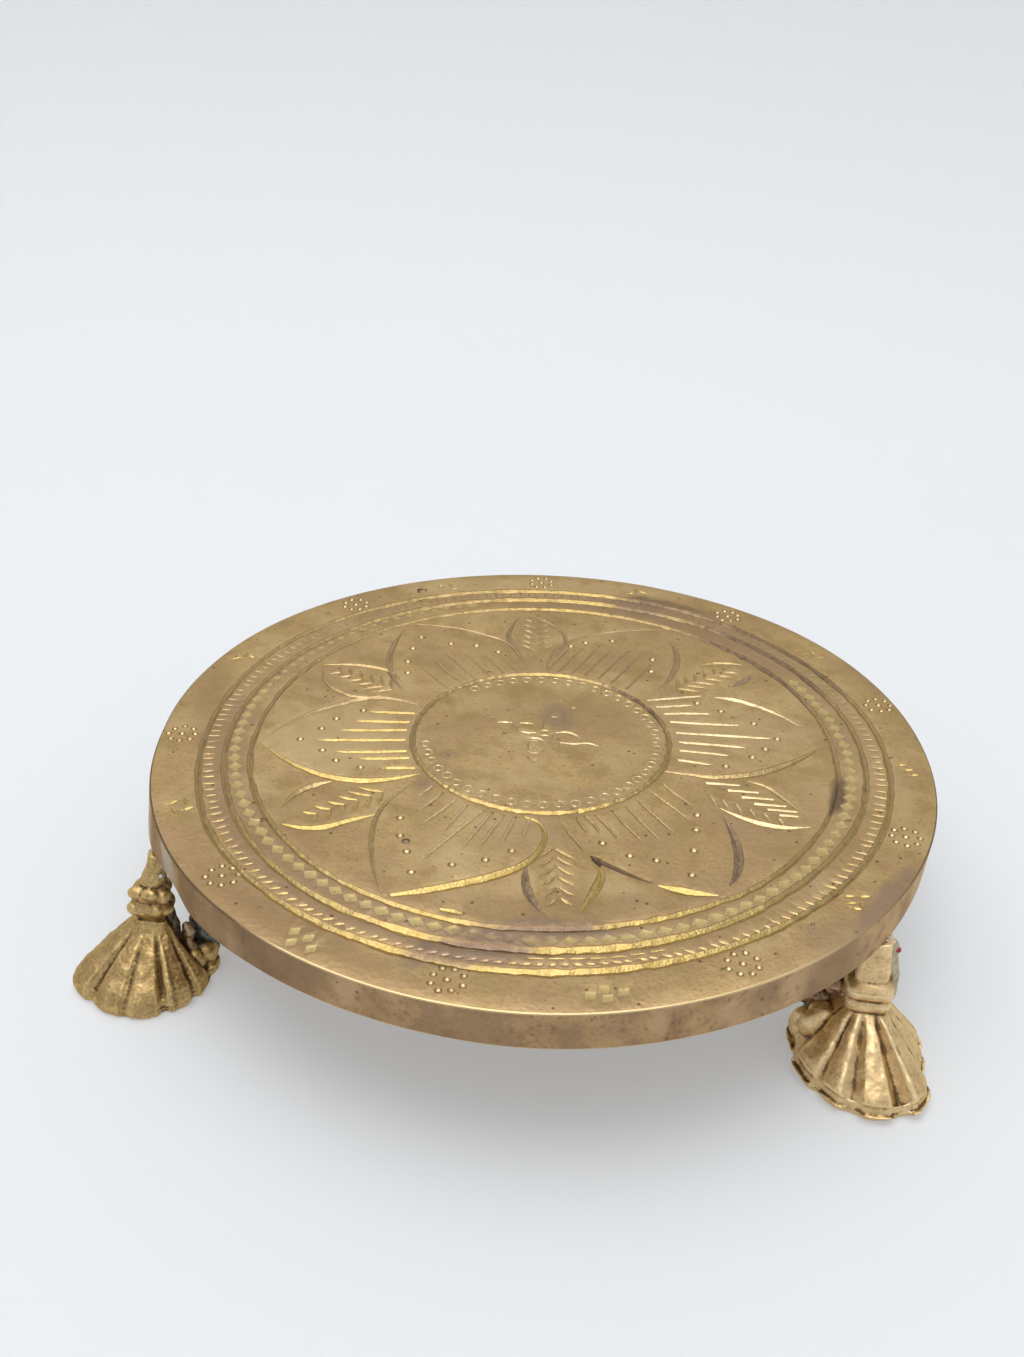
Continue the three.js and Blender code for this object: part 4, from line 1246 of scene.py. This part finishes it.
def shell_point(plan, round_share, down_share):
    """One point of the fluted shell, in mm along the foot's own axes."""
    first, last = plan["rim"][0][0], plan["rim"][-1][0]
    bearing = first + (last - first) * round_share
    reach = eased(plan["rim"], bearing)
    edges = [first, *(groove[0] for groove in plan["grooves"]), last]
    lobe = max(i for i in range(len(edges) - 1) if bearing >= edges[i] or i == 0)
    lobe_share = (bearing - edges[lobe]) / (edges[lobe + 1] - edges[lobe])
    swell = plan["bulge"] * (1 - abs(2 * lobe_share - 1) ** 2)
    for middle, half_width, depth in plan["grooves"]:
        swell -= depth * max(0, 1 - (abs(bearing - middle) / (1.7 * half_width)) ** 1.3)
    for middle, half_width, height in plan["ridges"]:
        swell += height * max(0, 1 - abs(bearing - middle) / half_width)
    share = eased(profile_shares, down_share)
    height = eased(profile_heights, down_share)
    height *= 1 - plan["sag"] * held((bearing - 152) / 24) * min(1, share / 0.3)
    low, high, wave, depth = plan["ripples"]
    if low < bearing < high and 0.3 < share < 0.97:
        swell += depth * math.sin(2 * math.pi * height / wave + 2 * waver(bearing / 9, height, 0.5))
    turn = math.radians(bearing)
    half_width, half_depth, shift, _ = plan["collar"]
    cubes = (abs(math.cos(turn)) / half_width) ** 3 + (abs(math.sin(turn)) / half_depth) ** 3
    neck = 1 / cubes ** (1 / 3) - 0.6
    radius = neck + (reach - neck) * share
    ramp = min(1, max(0, share - 0.02) / plan["fade"]) * (0.4 + 0.6 * share)
    on_lip = share > 0.96
    radius += (swell if swell > 0 else 0.6 * swell) * ramp * (plan["lip"] if on_lip else 0.8)
    rise = 0 if on_lip else 0.7 * swell * ramp
    out = radius * math.cos(turn) + shift * (1 - share)
    return out, radius * math.sin(turn), max(0, height + rise) if height > 0.01 else 0


# %% Shell of a foot
def make_shell(plan):
    """Bends a grid into a fluted shell and gives it a wall on its inner side."""
    deselect_all()
    bpy.ops.mesh.primitive_grid_add(x_subdivisions=shell_steps_round, y_subdivisions=shell_steps_down, size=1)
    shell = bpy.context.object
    for point in shell.data.vertices:
        point.co = foot_place(plan, *shell_point(plan, point.co.x + 0.5, 0.5 - point.co.y))
    face_outwards(shell)
    front = foot_place(plan, *shell_point(plan, 0.5, 0.5))
    outward = front - foot_place(plan, 0, 0, 8)
    nearest = min(shell.data.polygons, key=lambda polygon: (polygon.center - front).length)
    wall = shell.modifiers.new("wall", "SOLIDIFY")
    wall.thickness = shell_wall
    wall.offset = -1 if nearest.normal.dot(outward) > 0 else 1
    bpy.ops.object.modifier_apply(modifier=wall.name)
    return shell


# %% Collar and post of a foot
def make_neck(plan):
    """Spins a profile into a round neck, then squares it and leans its post."""
    half_width, half_depth, shift, squareness = plan["collar"]
    rows = [(half_width + swell, half_depth + swell, up) for swell, up in plan["collar_rows"]]
    low, high = plan["post"]
    for up in [up for up in post_rows if up > rows[-1][2] + 0.2]:
        share = (up - post_foot) / (post_rows[-1] - post_foot)
        rows.append((low[0] + (high[0] - low[0]) * share, low[1] + (high[1] - low[1]) * share, up))
    profile = bpy.data.meshes.new("neck_profile")
    profile.from_pydata([(1, 0, i) for i in range(len(rows))], [(i, i + 1) for i in range(len(rows) - 1)], [])
    neck = add_object("neck", profile)
    take_up(neck)
    bpy.ops.object.mode_set(mode="EDIT")
    bpy.ops.mesh.select_mode(type="EDGE")
    bpy.ops.mesh.select_all(action="SELECT")
    bpy.ops.mesh.spin(steps=64, angle=2 * math.pi, center=(0, 0, 0), axis=(0, 0, 1))
    bpy.ops.mesh.select_all(action="SELECT")
    bpy.ops.mesh.remove_doubles(threshold=0.001)
    bpy.ops.mesh.select_all(action="DESELECT")
    bpy.ops.mesh.select_non_manifold()
    bpy.ops.mesh.edge_face_add()
    bpy.ops.object.mode_set(mode="OBJECT")
    for point in neck.data.vertices:
        row_width, row_depth, up = rows[round(point.co.z)]
        x, y = point.co.x, point.co.y
        reach = 1 / ((abs(x) ** squareness + abs(y) ** squareness) ** (1 / squareness))
        out = x * reach * row_width + shift * held((26 - up) / 6)
        point.co = leaned(plan, foot_place(plan, out, y * reach * row_depth, up), up)
    return neck


# %% Ears and other lumps of a foot
def make_lump(plan, out, forward, up, half_out, half_forward, half_up):
    """A ball stretched to three half sizes, at a place of the foot."""
    deselect_all()
    bpy.ops.mesh.primitive_uv_sphere_add(segments=32, ring_count=16, radius=1)
    lump = bpy.context.object
    for point in lump.data.vertices:
        x, y, z = point.co
        point.co = foot_place(plan, out + half_out * x, forward + half_forward * y, up + half_up * z)
    return lump


# %% Melt parts into one casting
def melt(name, parts, grain, lumps, finish, voxel):
    """Joins parts into one skin, roughens it by noise and marks its hollows."""
    deselect_all()
    for part in parts:
        part.select_set(True)
    bpy.context.view_layer.objects.active = parts[0]
    bpy.ops.object.join()
    casting = settle(bpy.context.object, name)
    face_outwards(casting)
    skin = casting.modifiers.new("skin", "REMESH")
    skin.mode = "VOXEL"
    skin.voxel_size = voxel
    skin.use_smooth_shade = True
    bpy.ops.object.modifier_apply(modifier=skin.name)
    moved = []
    for point in casting.data.vertices:
        spot = point.co
        push = lumps * noise.noise(spot * 420) + grain * noise.noise(spot * 1500)
        push += 0.6 * grain * noise.noise(spot * 2900)
        moved.append(spot + point.normal * push)
    for point, spot in zip(casting.data.vertices, moved):
        point.co = (spot.x, spot.y, held(spot.z, 0, plate_bottom))
    casting.data.materials.clear()
    casting.data.materials.append(finish["material"])
    mark_hollows(casting, voxel)
    print(name, len(casting.data.polygons), "faces")
    return casting


# %% Mark hollows and ridges
# Hollows get a darker colour, partly dirt and partly painted shade, and ridges a lighter one,
# partly polish and partly painted highlight. Each point gets a number that says which it is:
# 0.5 on a flat, more in a hollow, less on a ridge. It is the height of its neighbours over it.
hollow_rounds = 5


def mark_hollows(piece, spacing):
    """Writes the attribute "hollow", from each point's height under its neighbours."""
    shape = piece.data
    count = len(shape.vertices)
    places = np.empty(3 * count)
    normals = np.empty(3 * count)
    ends = np.empty(2 * len(shape.edges), dtype=np.int64)
    shape.vertices.foreach_get("co", places)
    shape.vertices.foreach_get("normal", normals)
    shape.edges.foreach_get("vertices", ends)
    places, normals = places.reshape(-1, 3), normals.reshape(-1, 3)
    first, second = ends.reshape(-1, 2).T
    shares = np.maximum(np.bincount(first, minlength=count) + np.bincount(second, minlength=count), 1)
    step = places[second] - places[first]
    rise = np.bincount(first, (step * normals[first]).sum(1), count)
    rise = rise - np.bincount(second, (step * normals[second]).sum(1), count)
    level = rise / shares / spacing
    total = np.zeros(count)
    for _ in range(hollow_rounds):
        total += level
        level = (np.bincount(first, level[second], count) + np.bincount(second, level[first], count)) / shares
    mark = shape.attributes.new("hollow", "FLOAT", "POINT")
    mark.data.foreach_set("value", np.clip(0.5 + 1.6 * total, 0, 1))


# %% Cast finishes
def cast_finish(name, colours, ridge_polish_and_highlight_colour, roughness, grain, hollow_dirt_and_shade_colour=(0.12, 0.075, 0.035), most=0.85):
    """A cast metal whose hollows are painted darker, partly dirt and partly painted shade, and whose ridges
    are lighter, partly polish and partly painted highlight. The grain is in mm.
    """
    finish = wandering_metal(name, colours, roughness, grain * mm, drift=90, patches=420, specks=1700)
    tree = finish["tree"]
    hollow = add_node(tree, "ShaderNodeAttribute", attribute_name="hollow").outputs["Fac"]
    hollow = maths(tree, "ADD", hollow, maths(tree, "MULTIPLY_ADD", finish["patch"], 0.3, -0.15))
    # Hollows darken, partly dirt and partly painted shade, the deepest nearly black as painted shade; ridges
    # get a painted highlight, partly polish.
    wash(finish, hollow, 0.58, 0.95, most, hollow_dirt_and_shade_colour)
    wash(finish, hollow, 0.8, 1.0, 0.75, (0.08, 0.05, 0.03))
    wash(finish, hollow, 0.42, 0.15, 0.7, ridge_polish_and_highlight_colour)
    return finish


cast_shades = [(0.50, 0.345, 0.155), (0.43, 0.295, 0.125), (0.34, 0.23, 0.095), (0.2, 0.13, 0.06)]
filed_shades = [(0.80, 0.59, 0.32), (0.71, 0.515, 0.265), (0.56, 0.39, 0.19), (0.38, 0.25, 0.12)]
cast_finishes = {
    "sand_cast": cast_finish(
        "sand_cast_brass", cast_shades, (0.68, 0.50, 0.22), (0.38, 0.55), 0.05, (0.17, 0.11, 0.055), 0.75
    ),
    "filed": cast_finish(
        "filed_cast_brass", filed_shades, (0.90, 0.72, 0.42), (0.38, 0.52), 0.035, (0.27, 0.175, 0.09), 0.7
    ),
}

# %% Cast the feet
for side_name, plan in foot_plans.items():
    parts = [make_shell(plan), make_neck(plan), *(make_lump(plan, *ear) for ear in plan["ears"])]
    grain = 0.055 * mm if plan["finish"] == "sand_cast" else 0.03 * mm
    finish = cast_finishes[plan["finish"]]
    foot = melt("cast_foot_" + side_name, parts, grain, plan["lumps"] * mm, finish, 0.2 * mm)
    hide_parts("foot_" + side_name)
    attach(foot, "root")

# %% [markdown]
# ## The solder
# The posts were soldered to the plate, and a thick run of solder props each shell's ear from
# behind. The bead round a post is still silvery. The prop has gone dark and greenish. Both are
# rough lumps: simple solids melted together and pushed about by noise.

# %% Solder finishes
silver_shades = [(0.47, 0.44, 0.41), (0.38, 0.355, 0.33), (0.3, 0.275, 0.24), (0.18, 0.16, 0.13)]
dull_shades = [(0.085, 0.11, 0.105), (0.06, 0.075, 0.075), (0.16, 0.13, 0.075), (0.035, 0.035, 0.035)]
corroded_shades = [(0.42, 0.29, 0.19), (0.34, 0.23, 0.145), (0.46, 0.33, 0.21), (0.18, 0.115, 0.075)]
dribble_shades = [(0.42, 0.36, 0.25), (0.35, 0.31, 0.22), (0.30, 0.25, 0.16), (0.17, 0.14, 0.1)]
# Tones of the dark lump that is put in the left shell's hollow as a painted shadow.
painted_shadow_shades = [(0.06, 0.045, 0.03), (0.045, 0.035, 0.025), (0.1, 0.07, 0.04), (0.03, 0.025, 0.02)]
solder = cast_finish("silver_solder", silver_shades, (0.7, 0.69, 0.67), (0.22, 0.42), 0.05)
dull_solder = cast_finish("dull_solder", dull_shades, (0.24, 0.27, 0.25), (0.45, 0.65), 0.07)
corroded_solder = cast_finish("corroded_solder", corroded_shades, (0.52, 0.38, 0.25), (0.4, 0.6), 0.07)
dribbled_solder = cast_finish("dribbled_solder", dribble_shades, (0.55, 0.5, 0.38), (0.35, 0.5), 0.04)
painted_shadow_finish = cast_finish("painted_shadow_finish", painted_shadow_shades, (0.16, 0.12, 0.08), (0.5, 0.7), 0.05)

# %% Beads
# Each bead is an uneven collar of lumps round the top of a post. Entries are out, forward, up and
# three half sizes, in mm about the post's own middle.
bead_lumps = {
    "front_left": [
        (0.4, -0.6, 27.2, 1.9, 2.0, 1.1), (-1.2, 0.2, 27.4, 1.6, 1.6, 0.8),
        (-1.7, 1.9, 24.4, 0.6, 0.55, 0.6),
    ],
    "front_right": [
        (1.0, -0.6, 27.2, 1.9, 2.2, 1.2), (-1.2, -0.6, 27.4, 2.0, 2.2, 0.9),
        (2.0, -1.4, 25.6, 1.2, 1.4, 2.0),
    ],
    "back": [
        (0.9, 0.2, 27.2, 2.2, 2.2, 1.1), (-1.0, -0.6, 27.4, 2.0, 2.2, 1.0), (0.0, 0.2, 27.8, 2.8, 2.8, 0.9),
    ],
}
for side_name, plan in foot_plans.items():
    lumps = []
    for entry in bead_lumps[side_name]:
        lump = make_lump(plan, *entry)
        for point in lump.data.vertices:
            point.co = leaned(plan, point.co, entry[2])
        lumps.append(lump)
    bead = melt("solder_bead_of_" + side_name, lumps, 0.08 * mm, 0.3 * mm, solder, 0.2 * mm)
    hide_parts("solder_bead_" + side_name)
    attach(bead, "root")

# %% Props
# A prop leans from its lower to its upper end, in mm along the foot's own axes. Corroded lumps
# cover its foot. The left shell has a dark lump in its hollow, a painted shadow, and solder ran
# down the right post.
prop_low = (-8.3, -3.8, 3.2)
prop_high = (-5.8, -5.2, 28.3)
prop_half_out = 2.6
prop_half_forward = 2.1
prop_lumps = {
    "front_left": [(-5.9, -0.5, 7.2, 1.15, 1.3, 4.3), (-6.8, -0.6, 4.6, 1.2, 1.2, 2.2)],
    "front_right": [(-9.2, -3.2, 10.4, 3.2, 1.9, 3.0), (-6.0, -3.0, 13.4, 2.4, 1.8, 3.2)],
    "back": [(-7.6, -2.6, 7.4, 1.7, 1.6, 3.2)],
}
painted_shadow_lumps = [(-3.8, 0.7, 15.0, 0.75, 1.0, 3.0), (-4.4, 0.8, 11.6, 0.8, 1.0, 3.4)]
dribble_lumps = [
    (2.3, -0.9, 24.4, 1.1, 1.3, 3.2), (2.8, -0.9, 21.4, 1.1, 1.2, 3.0),
    (3.3, -0.8, 18.6, 1.1, 1.2, 3.0), (3.7, -0.8, 16.0, 0.9, 1.1, 2.4),
]
for side_name, plan in foot_plans.items():
    deselect_all()
    bpy.ops.mesh.primitive_cylinder_add(vertices=24, radius=1, depth=1)
    prop = bpy.context.object
    for point in prop.data.vertices:
        x, y, z = point.co
        out, forward, up = [low + (high - low) * (z + 0.5) for low, high in zip(prop_low, prop_high)]
        point.co = foot_place(plan, out + prop_half_out * x, forward + prop_half_forward * y, up)
    prop = melt("solder_prop_of_" + side_name, [prop], 0.1 * mm, 0.8 * mm, dull_solder, 0.24 * mm)
    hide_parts("solder_web_" + side_name)
    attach(prop, "root")
    lumps = [make_lump(plan, *entry) for entry in prop_lumps[side_name]]
    crust = melt("corroded_solder_of_" + side_name, lumps, 0.14 * mm, 0.9 * mm, corroded_solder, 0.22 * mm)
    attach(crust, "root")
    if side_name == "front_left":
        # A dark lump in the left shell's hollow, which stands for shade: a painted shadow.
        lumps = [make_lump(plan, *entry) for entry in painted_shadow_lumps]
        painted_shadow = melt("painted_shadow_in_the_hollow_of_" + side_name, lumps, 0.08 * mm, 0.5 * mm, painted_shadow_finish, 0.22 * mm)
        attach(painted_shadow, "root")
    if side_name == "front_right":
        lumps = [make_lump(plan, *entry) for entry in dribble_lumps]
        dribble = melt(
            "solder_dribble_of_" + side_name, lumps, 0.04 * mm, 0.25 * mm, dribbled_solder, 0.22 * mm
        )
        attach(dribble, "root")

# %% Speck of red wax
red_wax = new_material("red_wax", {"Base Color": (0.35, 0.01, 0.03, 1), "Roughness": 0.3})[0]
deselect_all()
bpy.ops.mesh.primitive_uv_sphere_add(segments=20, ring_count=12, radius=0.55 * mm)
speck = bpy.context.object
speck.location = foot_place(foot_plans["front_right"], 3.1, -0.3, 25.9)
settle(speck, "red_wax_speck")
bpy.ops.object.shade_smooth()
speck.data.materials.append(red_wax)
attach(speck, "root")
